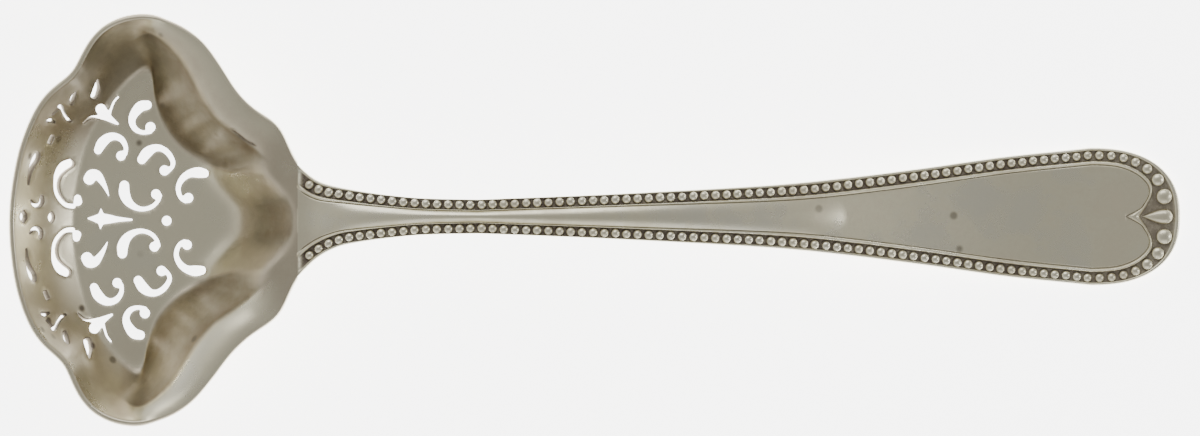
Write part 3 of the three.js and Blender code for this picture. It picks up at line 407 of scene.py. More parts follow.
def crossings(points, edges):
    """How many of the edges lie straight to the right of each point."""
    x, y = points.T
    count = np.zeros(len(points), int)
    for (x0, y0), (x1, y1) in edges:
        if y0 != y1:
            spans = (y > min(y0, y1)) & (y <= max(y0, y1))
            count += spans & (x0 + (y - y0) * (x1 - x0) / (y1 - y0) > x)
    return count


POINTS_AT_ONCE = 500


def nearest(points, others):
    """The distance from each point to the nearest of the others."""
    best = np.full(len(points), np.inf)
    for start in range(0, len(others), POINTS_AT_ONCE):
        x, y = others[start : start + POINTS_AT_ONCE].T
        gap = np.hypot(points[:, None, 0] - x, points[:, None, 1] - y)
        best = np.minimum(best, gap.min(axis=1))
    return best


# Round the openings and at the floor's middle, a finer net of triangles replaces the grid.
CUT_REACH, MIDDLE_ROWS = 0.55, 2
NET_SPACING, NET_CLEARANCE, SAME_PLACE = 0.5, 0.24, 1e-7


def pierced_sheet():
    """The pierced inner face: points, normals, tarnish and painted shade, faces, and a ring per
    opening.
    """
    outline_points = np.vstack([outer for outer, _ in openings])
    outline_edges = [edge for outer, _ in openings for edge in around(list(outer))]
    middles = np.array([sheet_points[list(q), :2].mean(axis=0) for q in quads])
    cut = nearest(middles, outline_points) < CUT_REACH
    cut |= crossings(middles, outline_edges) % 2 == 1
    cut |= np.array([r < MIDDLE_ROWS for r, _ in cells])
    kept = [q for q, gone in zip(quads, cut) if not gone]
    sides = Counter(unordered(a, b) for q, gone in zip(quads, cut) if gone for a, b in around(q))
    inner_circle = {unordered(a, b) for a, b in around(floor_fan[0])}
    border = [side for side, count in sides.items() if count == 1 and side not in inner_circle]
    border_edges = [(sheet_points[a, :2], sheet_points[b, :2]) for a, b in border]

    def in_net(points):
        inside = crossings(points, border_edges) % 2 == 1
        return inside & (crossings(points, outline_edges) % 2 == 0)

    used = sorted({index for side in border for index in side})
    number = {index: k for k, index in enumerate(used)}
    plan = [tuple(sheet_points[index, :2]) for index in used]
    edges = [(number[a], number[b]) for a, b in border]
    rings = []
    for outer, _ in openings:
        ring = list(range(len(plan), len(plan) + len(outer)))
        plan.extend(map(tuple, outer))
        edges.extend(around(ring))
        rings.append(ring)
    across = np.arange(-BOWL_HALF, BOWL_HALF, NET_SPACING)
    xs, ys = np.meshgrid(np.arange(FRONT, SEAM, NET_SPACING), across)
    xs = xs + NET_SPACING / 2 * (np.arange(len(ys)) % 2)[:, None]
    free = np.stack([xs.ravel(), ys.ravel()], axis=1)
    free = free[in_net(free)]
    for fixed in (outline_points, np.array(plan[: len(used)])):
        free = free[nearest(free, fixed) > NET_CLEARANCE]
    plan.extend(map(tuple, free))
    made = geometry.delaunay_2d_cdt([Vector(p) for p in plan], edges, [], 0, SAME_PLACE, True)
    verts, _, faces, origins = made[:4]
    centres = np.array([np.mean([verts[i][:] for i in face], axis=0) for face in faces])
    good = in_net(centres)
    points = [tuple(p) for p in sheet_points]
    normals = [tuple(n) for n in flat_normals]
    tarnish_and_painted_light = list(flat_tarnish_and_painted_light)
    index_of, from_plan = [], {}
    for k, (vert, origin) in enumerate(zip(verts, origins)):
        source = origin[0] if origin else None
        if source is not None and source < len(used):
            index_of.append(used[source])
        else:
            place, normal, film_and_painted_light = on_sheet(vert[0], vert[1])
            index_of.append(len(points))
            points.append(tuple(place))
            normals.append(tuple(normal))
            tarnish_and_painted_light.append(film_and_painted_light)
        for each in origin:
            from_plan[each] = index_of[-1]
    kept += [tuple(index_of[i] for i in face) for face, keep in zip(faces, good) if keep]
    ring_indices = [[from_plan[i] for i in ring] for ring in rings]
    return np.array(points), np.array(normals), np.array(tarnish_and_painted_light), kept, ring_indices


# Metres within which two points of a mesh are one.
MERGE_REACH = 2e-6


def make_mesh(name, points, faces, marks):
    """An object from points in millimetres, with the amounts of grime, tarnish and painted shade at
    each point.
    """
    mesh = bpy.data.meshes.new(name)
    mesh.from_pydata([Vector(p) * MM for p in points], [], [tuple(map(int, f)) for f in faces])
    for mark, amounts in marks.items():
        layer = mesh.attributes.new(mark, "FLOAT", "POINT")
        layer.data.foreach_set("value", np.asarray(amounts, np.float32))
    mesh.validate()
    bm = bmesh.new()
    bm.from_mesh(mesh)
    bmesh.ops.delete(bm, geom=[v for v in bm.verts if not v.link_faces], context="VERTS")
    bmesh.ops.remove_doubles(bm, verts=bm.verts, dist=MERGE_REACH)
    bmesh.ops.recalc_face_normals(bm, faces=bm.faces)
    for face in bm.faces:
        face.smooth = True
    bm.to_mesh(mesh)
    bm.free()
    thing = bpy.data.objects.new(name, mesh)
    bpy.context.scene.collection.objects.link(thing)
    return thing


JOINT, DRESSING, DRESSING_REACH = SEAM + 0.1, 0.06, 1.6
CUT_EXACTNESS, ON_CUT = 1e-7, 1e-6


def cut_at_joint(thing, before):
    """Cuts a piece square at the joint, keeps the part before or behind it, and closes the cut."""
    bm = bmesh.new()
    bm.from_mesh(thing.data)
    bmesh.ops.bisect_plane(
        bm, geom=bm.verts[:] + bm.edges[:] + bm.faces[:], dist=CUT_EXACTNESS,
        plane_co=(JOINT * MM, 0, 0), plane_no=(1, 0, 0), clear_outer=before, clear_inner=not before,
    )
    open_edges = [e for e in bm.edges if e.is_boundary]
    cut = [e for e in open_edges if all(abs(v.co.x - JOINT * MM) < ON_CUT for v in e.verts)]
    for edge in cut:
        edge.smooth = False
    for face in bmesh.ops.edgeloop_fill(bm, edges=cut)["faces"]:
        face.smooth = False
    bm.to_mesh(thing.data)
    bm.free()


def set_askew(points):
    """Sets the bowl askew on the handle, and dresses both over the solder's edge at the joint."""
    middle = along_bowl(FLOOR_MIDDLE)
    turning = 1 - smooth(points[:, 0], along_bowl(RAMP_SHARES[0]), SEAM)
    angle = -math.radians(BOWL_TURN) * turning
    shift = BOWL_SHIFT * (1 - smooth(points[:, 0], SEAM, SEAM + SHIFT_FADE))
    dressed = DRESSING * np.exp(-(((points[:, 0] - JOINT) / DRESSING_REACH) ** 2))
    x, y = points[:, 0] - middle, points[:, 1]
    return np.stack([
        middle + x * np.cos(angle) - y * np.sin(angle),
        x * np.sin(angle) + y * np.cos(angle) - shift,
        points[:, 2] + dressed,
    ], axis=1)


# The sawn walls of the openings are made darker than the faces round them.
RIM_STEPS, RIM_FILM, HOLE_WALL_DARKER = 7, 0.36, 0.6
# Levels down an opening's sawn wall: the way into it, the depth from the nearer face, and how much
# darker it is made there.
HOLE_SECTION = [
    (0.35, 0.015, 0.1), (0.8, 0.05, 0.5), (1, 0.12, 0.75),
    (1, -0.12, 0.4), (0.8, -0.05, 0.2), (0.35, -0.015, 0),
]
# Painted shadow: a thin dark line where the lip folds over the pocket.
CREASE = [(765, 461, 0), (805, 415, 0), (848, 380, 0)]
CREASE_DARK, CREASE_CLEAR = 0.06, 0.26


def crease_painted_shadow(points):
    """Painted shadow along a thin crease of the lip, put in as grime."""
    gap = stroke_distance(stroke_points(CREASE), points[:, 0], points[:, 1])
    return 1 - smooth(gap, CREASE_DARK, CREASE_CLEAR)


def build_bowl():
    """The pierced inner face, the outer face a gauge below it, and the edges that join the two."""
    top, normals, film_and_painted_light, faces, rings = pierced_sheet()
    count = len(top)
    thicker = smooth(top[:, 0], *(along_bowl(share) for share in THICKEN_SHARES))
    thick = mix(GAUGE, NECK_GAUGE, thicker)[:, None]
    low = top - normals * thick
    points = list(top) + list(low)
    tarnish_and_painted_light = list(film_and_painted_light) + [FILM] * count
    # On the inner face the grime is only the painted shadow of the crease.
    grime_and_shade = list(crease_painted_shadow(top)) + [0.0] * count
    shell = [tuple(f) for f in faces] + [tuple(i + count for i in reversed(f)) for f in faces]

    def add_level(places, brown, dirt):
        first = len(points)
        points.extend(places)
        tarnish_and_painted_light.extend([brown] * len(places))
        grime_and_shade.extend([dirt] * len(places))
        return list(range(first, len(points)))

    def join(levels):
        for a, b in zip(levels, levels[1:]):
            shell.extend((a0, a1, b1, b0) for (a0, a1), (b0, b1) in zip(around(a), around(b)))

    for ring, (_, inner) in zip(rings, openings):
        plan_step = inner - top[ring, :2]
        lift = -(plan_step * normals[ring, :2]).sum(axis=1) / normals[ring, 2]
        step_in = np.column_stack([plan_step, lift])
        levels = [list(ring)]
        for share, down, dirt in HOLE_SECTION:
            depth = down if down > 0 else GAUGE + down
            places = top[ring] + step_in * share - normals[ring] * depth
            levels.append(add_level(places, HOLE_WALL_DARKER, dirt))
        join(levels + [[i + count for i in ring]])
    rim = [cell_id(ROWS - 1, c) for c in range(COLUMNS)]
    before = [cell_id(ROWS - 2, c) for c in range(COLUMNS)]
    outwards = top[rim] - top[before]
    outwards /= np.linalg.norm(outwards, axis=1, keepdims=True)
    centre = (top[rim] + low[rim]) / 2
    levels = [rim]
    for k in range(1, RIM_STEPS):
        angle = math.pi * k / RIM_STEPS
        up = normals[rim] * thick[rim] / 2 * math.cos(angle)
        places = centre + up + outwards * RIM_ROUNDNESS * math.sin(angle)
        levels.append(add_level(places, RIM_FILM, 0.0))
    join(levels + [[i + count for i in rim]])
    marks = {"tarnish_and_painted_light": tarnish_and_painted_light, "grime_and_shade": grime_and_shade}
    thing = make_mesh("bowl_sheet", set_askew(np.array(points)), shell, marks)
    cut_at_joint(thing, before=True)
    return thing


def new_material(name):
    material = bpy.data.materials.new(name)
    material.use_nodes = True
    material.node_tree.nodes.clear()
    return material, material.node_tree


def node(tree, kind, **values):
    """A new node. A value that is another node's socket is linked, and any other is set."""
    made = tree.nodes.new(kind)
    for key, value in values.items():
        if isinstance(value, bpy.types.NodeSocket):
            tree.links.new(value, made.inputs[key])
        elif key in made.inputs:
            made.inputs[key].default_value = value
        else:
            setattr(made, key, value)
    return made


def ramp(tree, source, low, high, low_value=0.0, high_value=1.0):
    limits = {"From Min": low, "From Max": high, "To Min": low_value, "To Max": high_value}
    made = node(tree, "ShaderNodeMapRange", interpolation_type="SMOOTHSTEP", Value=source, **limits)
    return made.outputs["Result"]


def shade_ramp(tree, source, stops):
    """Colours that blend as the source grows."""
    made = node(tree, "ShaderNodeValToRGB", Fac=source)
    elements = made.color_ramp.elements
    while len(elements) < len(stops):
        elements.new(0.5)
    for element, (at, shade) in zip(elements, stops):
        element.position = at
        element.color = (*shade, 1)
    return made.outputs["Color"]


def noise(tree, place, scale, detail, rough):
    looks = {"Scale": scale, "Detail": detail, "Roughness": rough}
    return node(tree, "ShaderNodeTexNoise", Vector=place, **looks).outputs["Fac"]


def combined(tree, operation, first, second):
    made = node(tree, "ShaderNodeMath", operation=operation)
    tree.links.new(first, made.inputs[0])
    if isinstance(second, float):
        made.inputs[1].default_value = second
    else:
        tree.links.new(second, made.inputs[1])
    return made.outputs["Value"]


def tinted(tree, base, tint, amount):
    made = node(tree, "ShaderNodeMix", data_type="RGBA", A=base, B=tint, Factor=amount)
    return made.outputs["Result"]


# Colours of silver from freshly rubbed to deeply tarnished, by the amount of tarnish.
# The same colours give the bowl its painted shade and painted reflections, which ride on the
# tarnish.
TARNISH = [
    (0.0, (0.84, 0.84, 0.79)), (0.25, (0.76, 0.715, 0.54)), (0.42, (0.52, 0.46, 0.35)),
    (0.7, (0.31, 0.275, 0.205)), (1.0, (0.19, 0.145, 0.09)),
]
# The grime's colour, which also paints the shadow in the lip's crease.
DRIED_POLISH_AND_SHADOW = (0.125, 0.1, 0.076, 1)
DARK_SPOT = (0.12, 0.10, 0.08, 1)

# The patterns of the wear: scale, detail and roughness of their noise.
CLOUDS, GRAINS, DENTS = (120.0, 6.0, 0.6), (1400.0, 3.0, 0.7), (260.0, 3.0, 0.5)
SPOT_PLACES, HAIRS = (34.0, 2.0, 0.5), (1.0, 2.0, 0.6)
# From which to which amount of its pattern a mark grows, and from which to which value.
CLOUDY, ROUGHER, GRIMY = (0.3, 0.7, -1.0, 1.0), (0.3, 0.8, -0.05, 0.12), (0.2, 0.6, 0.7, 1.0)
SPOTTED, SPOT_EDGE, HAIR_EDGE = (0.5, 0.62), (0.16, 0.06), (0.6, 0.72)
DULLED = (0.0, 1.0, 1.0, 0.35)
SPOT_SCALE, TARNISH_ROUGHNESS, GRIME_ROUGHNESS = 210.0, 0.16, 0.35
DENT_STRENGTH, DENT_DEPTH, SCRATCH_STRENGTH, SCRATCH_DEPTH = 0.13, 0.00012, 0.12, 0.00002
# The ways scratches run, each with the scale along it. Across it they are this much finer.
SCRATCHES, HAIR_THINNESS = ((0.35, 60.0), (-0.6, 75.0), (1.45, 50.0)), 60


def stretched_hairs(tree, place, turn, stretch):
    """Thin lines that all run one way, as a cloth or a drawer leaves them."""
    scale = (stretch, stretch * HAIR_THINNESS, stretch * HAIR_THINNESS)
    turned = node(tree, "ShaderNodeMapping", Vector=place, Rotation=(0, 0, turn), Scale=scale)
    return ramp(tree, noise(tree, turned.outputs["Vector"], *HAIRS), *HAIR_EDGE)


def silver_wear_group():
    """Sterling silver, rubbed for years, with tarnish and grime where it is not rubbed."""
    group = bpy.data.node_groups.new("silver_wear", "ShaderNodeTree")
    for name in ("Polish", "Cloudiness", "Spots", "Least Film"):
        group.interface.new_socket(name, in_out="INPUT", socket_type="NodeSocketFloat")
    for name, kind in (
        ("Base Color", "NodeSocketColor"), ("Roughness", "NodeSocketFloat"),
        ("Metallic", "NodeSocketFloat"), ("Normal", "NodeSocketVector"),
    ):
        group.interface.new_socket(name, in_out="OUTPUT", socket_type=kind)
    given = group.nodes.new("NodeGroupInput").outputs
    place = node(group, "ShaderNodeTexCoord").outputs["Object"]

    def times(first, second):
        return combined(group, "MULTIPLY", first, second)

    def plus(first, second):
        return combined(group, "ADD", first, second)

    cloud, grains = noise(group, place, *CLOUDS), noise(group, place, *GRAINS)
    # The grime and tarnish marks also carry the bowl's painted shade and painted reflections.
    grime_and_shade = node(group, "ShaderNodeAttribute", attribute_name="grime_and_shade").outputs["Fac"]
    tarnish_and_painted_light = node(group, "ShaderNodeAttribute", attribute_name="tarnish_and_painted_light").outputs["Fac"]
    grime_and_shade = times(grime_and_shade, ramp(group, grains, *GRIMY))
    clouds = times(ramp(group, cloud, *CLOUDY), given["Cloudiness"])
    film_and_painted_light = combined(group, "MAXIMUM", tarnish_and_painted_light, given["Least Film"])
    film_and_painted_light = times(film_and_painted_light, plus(clouds, 1.0))
    pit = node(group, "ShaderNodeTexVoronoi", Vector=place, Scale=SPOT_SCALE, Randomness=1.0)
    dots = ramp(group, pit.outputs["Distance"], *SPOT_EDGE)
    seldom = times(ramp(group, noise(group, place, *SPOT_PLACES), *SPOTTED), given["Spots"])
    colour = tinted(group, shade_ramp(group, film_and_painted_light, TARNISH), DRIED_POLISH_AND_SHADOW, grime_and_shade)
    colour = tinted(group, colour, DARK_SPOT, times(dots, seldom))

    hairs, *others = [stretched_hairs(group, place, *way) for way in SCRATCHES]
    for other in others:
        hairs = combined(group, "MAXIMUM", hairs, other)
    dents = node(
        group, "ShaderNodeBump", Strength=DENT_STRENGTH, Distance=DENT_DEPTH,
        Height=noise(group, place, *DENTS),
    )
    scratched = node(
        group, "ShaderNodeBump", Strength=SCRATCH_STRENGTH, Distance=SCRATCH_DEPTH,
        Height=hairs, Normal=dents.outputs["Normal"],
    )
    rough = plus(ramp(group, cloud, *ROUGHER), given["Polish"])
    rough = plus(rough, times(film_and_painted_light, TARNISH_ROUGHNESS))
    rough = plus(rough, times(grime_and_shade, GRIME_ROUGHNESS))
    node(group, "NodeGroupOutput", **{
        "Base Color": colour, "Roughness": rough, "Metallic": ramp(group, grime_and_shade, *DULLED),
        "Normal": scratched.outputs["Normal"],
    })
    return group


silver_wear = silver_wear_group()


def silver_material(name, polish, cloudiness, spots, least_film=0.0, grimy=True):
    """Silver with the shared wear, in one piece's own amounts."""
    material, tree = new_material(name)
    amounts = {"Polish": polish, "Cloudiness": cloudiness, "Spots": spots, "Least Film": least_film}
    wear = node(tree, "ShaderNodeGroup", node_tree=silver_wear, **amounts)
    shader = node(tree, "ShaderNodeBsdfPrincipled", Metallic=1.0)
    for key in ("Base Color", "Roughness", "Normal") + (("Metallic",) if grimy else ()):
        tree.links.new(wear.outputs[key], shader.inputs[key])
    node(tree, "ShaderNodeOutputMaterial", Surface=shader.outputs["BSDF"])
    return material


bowl = build_bowl()
bowl.data.materials.append(silver_material("bowl_silver", polish=0.25, cloudiness=0.14, spots=0.9))
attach(bowl, "root")
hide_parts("bowl")

# HANDLE
# A struck blank of silver: a flat panel at the tip narrows to a crowned stem, inside a raised
# thread and a row of beads in a sunk, grimy channel. At the tip the thread dips to a heart, round
# a drop. The heel runs on as a tongue under the bowl.

TIP = 79.95
ROOT_WIDTH, WAIST_WIDTH, TIP_WIDTH = 15.4, 4.65, 19.0
WAIST, WIDEST = SEAM + 24.7, TIP - 12.4
ROOT_THICKNESS, WAIST_THICKNESS, TIP_THICKNESS = 2.5, 3.0, 2.0
CREST, CREST_HEIGHT, LANDING = SEAM + 34.0, 15.4, TIP - 11.0
TIP_SQUARENESS, UNDERSIDE_BEVEL, ROOT_BLEND = 2.4, 0.9, 2.6
CROWN, CROWN_FADE, CROWN_END, CROWN_ROUND = 0.35, 9.0, TIP - 46.2, 5.5
MARGIN, TIP_MARGIN, BORDER_FULL_WIDTH, STEM_SHARE = 0.42, 0.76, 10.2, 0.3
BEAD, BIG_BEAD, BEAD_GAP, TIP_BEAD_GAP, BEAD_HEIGHT = 1.24, 2.3, 0.195, 0.36, 0.62
EVEN_FROM_AXIS, BIG_FROM_AXIS, FIRST_BEAD = 9.2, 3.2, 0.72
CHANNEL, CHANNEL_START = 0.42, 0.8
THREAD, THREAD_GAP, THREAD_HEIGHT = 0.65, 0.14, 0.22
HEART_DIP, HEART_REACH, HEART_SHARPNESS = 2.4, 6.5, 1.3
HEART_POINT, POINT_REACH = 1.4, 2.2
DROP_LENGTH, DROP_WIDTH, DROP_HEIGHT, DROP_MARGIN, DROP_GAP = 4.4, 2.2, 0.85, 1.0, 0.6
# From BEND on, the walk along the edge turns round the tip.
BEND, WALK_STEPS, ROW_SPACING, ROW_POINTS, CURVE_STEPS = 0.84, 2400, 0.3, 9, 90
BEVEL_SHARPNESS, TIP_GRIME, TIP_GRIME_REACH = 5, 0.85, 30

ROOT_FLARE = [(0, 0), (0.3, 0.035), (0.5, 0.12), (0.67, 0.235), (0.79, 0.36), (0.895, 0.58), (1, 1)]
BLADE = [(0, 0), (0.2, 0.095), (0.46, 0.267), (0.59, 0.41), (0.72, 0.6), (0.86, 0.83), (1, 1)]

# Sections across the border, from its inner side to the handle's edge: a share of the part's
# width, a height as a share of the thread's or of the channel's depth, and the grime there.
THREAD_SECTION = [
    (0, -0.1, 0.4), (0.05, -0.45, 0.9), (0.13, -0.5, 0.9), (0.21, 0.05, 0.3), (0.32, 0.6, 0),
    (0.46, 0.94, 0), (0.6, 1, 0), (0.74, 0.78, 0), (0.88, 0.2, 0.1), (0.96, -0.5, 0.6),
]
CHANNEL_SECTION = [
    (0, -0.66, 1), (0.08, -0.92, 1), (0.25, -1, 1), (0.5, -1, 1), (0.75, -1, 1), (0.93, -0.92, 1),
]
MARGIN_SECTION = [
    (0, -0.45, 0.7), (0.12, -0.12, 0.1), (0.4, 0, 0), (0.65, -0.07, 0),
    (0.88, -0.33, 0), (1, -0.8, 0),
]


def share_curve(shares):
    fine = spline(np.array(shares, float), np.linspace(0, len(shares) - 1, CURVE_STEPS))
    return lambda at: float(np.interp(at, fine[:, 0], fine[:, 1]))


root_flare, blade = share_curve(ROOT_FLARE), share_curve(BLADE)


def step(x, low, high):
    return float(smooth(x, low, high))


def half_width(x):
    if x <= WAIST:
        return mix(WAIST_WIDTH, ROOT_WIDTH, root_flare((WAIST - x) / (WAIST - SEAM))) / 2
    return mix(WAIST_WIDTH, TIP_WIDTH, blade((min(x, WIDEST) - WAIST) / (WIDEST - WAIST))) / 2


def underside(x):
    high = CREST_HEIGHT - WAIST_THICKNESS
    if x <= CREST:
        rise = math.sin(math.pi / 2 * (x - SEAM) / (CREST - SEAM))
        return mix(NECK_HEIGHT - ROOT_THICKNESS, high, rise)
    return high * (1 - step(x, CREST, LANDING))


def top_height(x):
    """Height of the handle's upper face, which starts level at the seam, as the ramp ends there."""
    if x <= WAIST:
        past = x - SEAM
        slope = (CREST_HEIGHT - WAIST_THICKNESS + ROOT_THICKNESS - NECK_HEIGHT) * math.pi / 2
        level = slope / (CREST - SEAM) * past * math.exp(-((past / ROOT_BLEND) ** 2))
        return underside(x) + mix(ROOT_THICKNESS, WAIST_THICKNESS, step(x, SEAM, WAIST)) - level
    return underside(x) + mix(WAIST_THICKNESS, TIP_THICKNESS, step(x, WAIST, LANDING))


def edge_at(part):
    """The edge of the handle as one walk from the seam (0) to the tip (1)."""
    if part < BEND:
        x = mix(SEAM, WIDEST, part / BEND)
        return np.array([x, half_width(x)])
    turn = math.pi / 2 * min((part - BEND) / (1 - BEND), 1)
    return np.array([
        WIDEST + (TIP - WIDEST) * math.sin(turn) ** (2 / TIP_SQUARENESS),
        TIP_WIDTH / 2 * max(math.cos(turn), 0) ** (2 / TIP_SQUARENESS),
    ])


def at_tip(part):
    return part > 1 - 0.5 / WALK_STEPS


def inwards_at(part):
    if at_tip(part):
        return np.array([-1.0, 0.0])
    way = edge_at(min(part + 1 / WALK_STEPS, 1)) - edge_at(max(part - 1 / WALK_STEPS, 0))
    way /= np.linalg.norm(way)
    return np.array([way[1], -way[0]])


def border(edge):
    """Insets of the margin and the thread's two sides, and the size and pitch of a bead."""
    fullness = mix(STEM_SHARE, 1, step(2 * half_width(edge[0]), WAIST_WIDTH, BORDER_FULL_WIDTH))
    round_tip = 1 if edge[0] > WIDEST else 0
    growing = (EVEN_FROM_AXIS - edge[1]) / (EVEN_FROM_AXIS - BIG_FROM_AXIS)
    grown = round_tip * min(max(growing, 0), 1)
    bead = mix(BEAD, BIG_BEAD, grown)
    margin = mix(MARGIN * fullness, TIP_MARGIN, grown)
    dip = round_tip * max(1 - edge[1] / HEART_REACH, 0) ** HEART_SHARPNESS
    near = margin + bead + THREAD_GAP * fullness + HEART_DIP * dip
    point = round_tip * max(1 - edge[1] / POINT_REACH, 0) ** HEART_SHARPNESS
    far = near + THREAD * fullness + HEART_POINT * point
    return margin, near, far, bead, bead + mix(BEAD_GAP, TIP_BEAD_GAP, round_tip)


CUSP = TIP - border(np.array([TIP, 0.0]))[2]


def bead_line(part):
    """A place on the line through the beads' middles, and the size and pitch of a bead there."""
    edge = edge_at(part)
    margin, _, _, bead, pitch = border(edge)
    return edge + inwards_at(part) * (margin + bead / 2), bead, pitch


def row_parts():
    """Places on the walk of the edge, evenly spaced on the line of the beads."""
    fine = np.linspace(0, 1, WALK_STEPS + 1)
    line = np.array([bead_line(part)[0] for part in fine])
    walked = np.concatenate([[0], np.cumsum(np.hypot(*np.diff(line, axis=0).T))])
    return np.interp(np.linspace(0, walked[-1], int(walked[-1] / ROW_SPACING)), walked, fine)


def crown_height(x, share):
    """Bulge of the stem at a share of the way from its axis to the border. It ends in a round."""
    past = max(x - CROWN_END + CROWN_ROUND, 0) / CROWN_ROUND
    return CROWN * step(x, SEAM, SEAM + CROWN_FADE) * max(1 - share**2 - past**2, 0)


def half_row(part):
    """Half a section, over the top from the axis to the edge and back below: places and grime."""
    edge, way = edge_at(part), inwards_at(part)
    margin, near, far, _, _ = border(edge)
    inner = edge + way * far
    axis = min(inner[0], CUSP)
    row = []
    for k in range(ROW_POINTS):
        share = math.sin(math.pi / 2 * k / ROW_POINTS)
        x = mix(axis, inner[0], share)
        row.append((x, inner[1] * share, top_height(x) + crown_height(x, share), 0.0))
    bands = (
        (THREAD_SECTION, far, near, THREAD_HEIGHT),
        (CHANNEL_SECTION, near, margin, CHANNEL),
        (MARGIN_SECTION, margin, 0.0, CHANNEL),
    )
    for section, start, end, tall in bands:
        for share, level, dirt in section:
            x, y = edge + way * mix(start, end, share)
            begun = step(x, JOINT, JOINT + CHANNEL_START)
            cleaner = mix(1.0, TIP_GRIME, step(x, TIP - TIP_GRIME_REACH, TIP))
            up = top_height(x) + level * tall * begun
            row.append((x, max(y, 0), up, dirt * begun * cleaner))
    bevel = min(UNDERSIDE_BEVEL, (top_height(edge[0]) - underside(edge[0])) / 2)
    for k in range(ROW_POINTS):
        share = math.cos(math.pi / 2 * k / ROW_POINTS)
        x = mix(axis, edge[0], share)
        row.append((x, edge[1] * share, underside(x) + bevel * share**BEVEL_SHARPNESS, 0.0))
    row.append((axis, 0.0, underside(axis), 0.0))
    return [(x, 0.0 if at_tip(part) else y, z, dirt) for x, y, z, dirt in row]


class Heap:
    """A mesh of several forms. Its points have their grime as a fourth number."""

    def __init__(self):
        self.points, self.faces = [], []

    def add(self, points, faces):
        first = len(self.points)
        self.points.extend(points)
        self.faces.extend(tuple(first + i for i in face) for face in faces)


def strips(rows, across, closed=False):
    """The faces between rows of points, each row of the same number across."""
    last = across if closed else across - 1
    return [
        (a + i, a + (i + 1) % across, a + across + (i + 1) % across, a + across + i)
        for a in range(0, (rows - 1) * across, across) for i in range(last)
    ]


DOME_SIDES, SUNK = 18, 0.1
# Rings of a bead up from its foot: radius and height as shares of its own, and the grime there.
# The last ones lie on a round cap, at these angles, that stands on a shoulder.
DOME_ANGLES, DOME_SHOULDER, DOME_CAP = [0.3 + 0.25 * k for k in range(5)], 0.42, 0.58
DOME_SECTION = [(1, 0, 1), (1, 0.35, 0.5), (0.97, 0.48, 0.1)] + [
    (math.cos(angle), DOME_SHOULDER + DOME_CAP * math.sin(angle), 0) for angle in DOME_ANGLES
]


def dome(heap, centre, radius, height, floor):
    """A bead that stands on the floor of the channel, with grime at its foot."""
    points = []
    for out, up, dirt in DOME_SECTION:
        for k in range(DOME_SIDES):
            angle = 2 * math.pi * k / DOME_SIDES
            x, y = centre + np.array([math.cos(angle), math.sin(angle)]) * radius * out
            points.append((x, y, floor - SUNK + (height + SUNK) * up, dirt))
    points.append((*centre, floor + height, 0))
    faces = strips(len(DOME_SECTION), DOME_SIDES, closed=True)
    top = (len(DOME_SECTION) - 1) * DOME_SIDES
    faces += [(top + k, top + (k + 1) % DOME_SIDES, len(points) - 1) for k in range(DOME_SIDES)]
    heap.add(points, faces)


# How the drop tapers to its point, and how full it is lengthwise, at its sides and over its back.
DROP_TAPER, DROP_FULLNESS, DROP_SIDES, DROP_BACK = 1.25, 0.65, 0.75, 0.8
DROP_ROWS, DROP_ACROSS, DROP_GRIME, DROP_GRIME_FADE = 30, 15, 0.9, 7


def fuller(angle, power):
    """The cosine of an angle. A power below 1 brings it nearer to 1 or -1, for a fuller section."""
    return math.copysign(abs(math.cos(angle)) ** power, math.cos(angle))


def drop(heap):
    """The drop at the tip: rows across it from its point, at the heart, to its round end."""
    start, end = TIP - DROP_MARGIN - DROP_LENGTH, TIP - DROP_MARGIN
    radius = DROP_WIDTH / 2
    belly = end - radius
    points = []
    for i in range(DROP_ROWS):
        x = mix(start, end, (1 - math.cos(math.pi * i / (DROP_ROWS - 1))) / 2)
        grown = math.sin(math.pi / 2 * min((x - start) / (belly - start), 1)) ** DROP_TAPER
        wide = radius * grown if x < belly else math.sqrt(max(radius**2 - (x - belly) ** 2, 0))
        high = DROP_HEIGHT * (wide / radius) ** DROP_FULLNESS
        floor = top_height(x) - CHANNEL - SUNK
        for k in range(DROP_ACROSS):
            angle = math.pi * k / (DROP_ACROSS - 1)
            up = floor + (high + SUNK) * math.sin(angle) ** DROP_BACK
            dirt = max(0.0, DROP_GRIME - DROP_GRIME_FADE * math.sin(angle))
            points.append((x, -wide * fuller(angle, DROP_SIDES), up, dirt))
    heap.add(points, strips(DROP_ROWS, DROP_ACROSS))


def bead_places():
    """From the tip back along one edge: the middle and the size of each bead."""
    found, walked = [], 0.0
    wanted, between_beads = (DROP_WIDTH + DROP_GAP) / 2, True
    before = bead_line(1)[0]
    for i in range(WALK_STEPS - 1, 0, -1):
        here, bead, pitch = bead_line(i / WALK_STEPS)
        walked += np.hypot(*(here - before))
        before = here
        if walked < wanted:
            continue
        if not between_beads and here[0] > SEAM + FIRST_BEAD:
            found.append((here, bead))
        between_beads = not between_beads
        wanted = walked + pitch / 2
    return found


# By how much the dies and wear have left the beads unlike each other.
BEAD_STRAY, BEAD_WIDTHS, BEAD_HEIGHTS = 0.03, (0.97, 1.03), (0.95, 1.04)


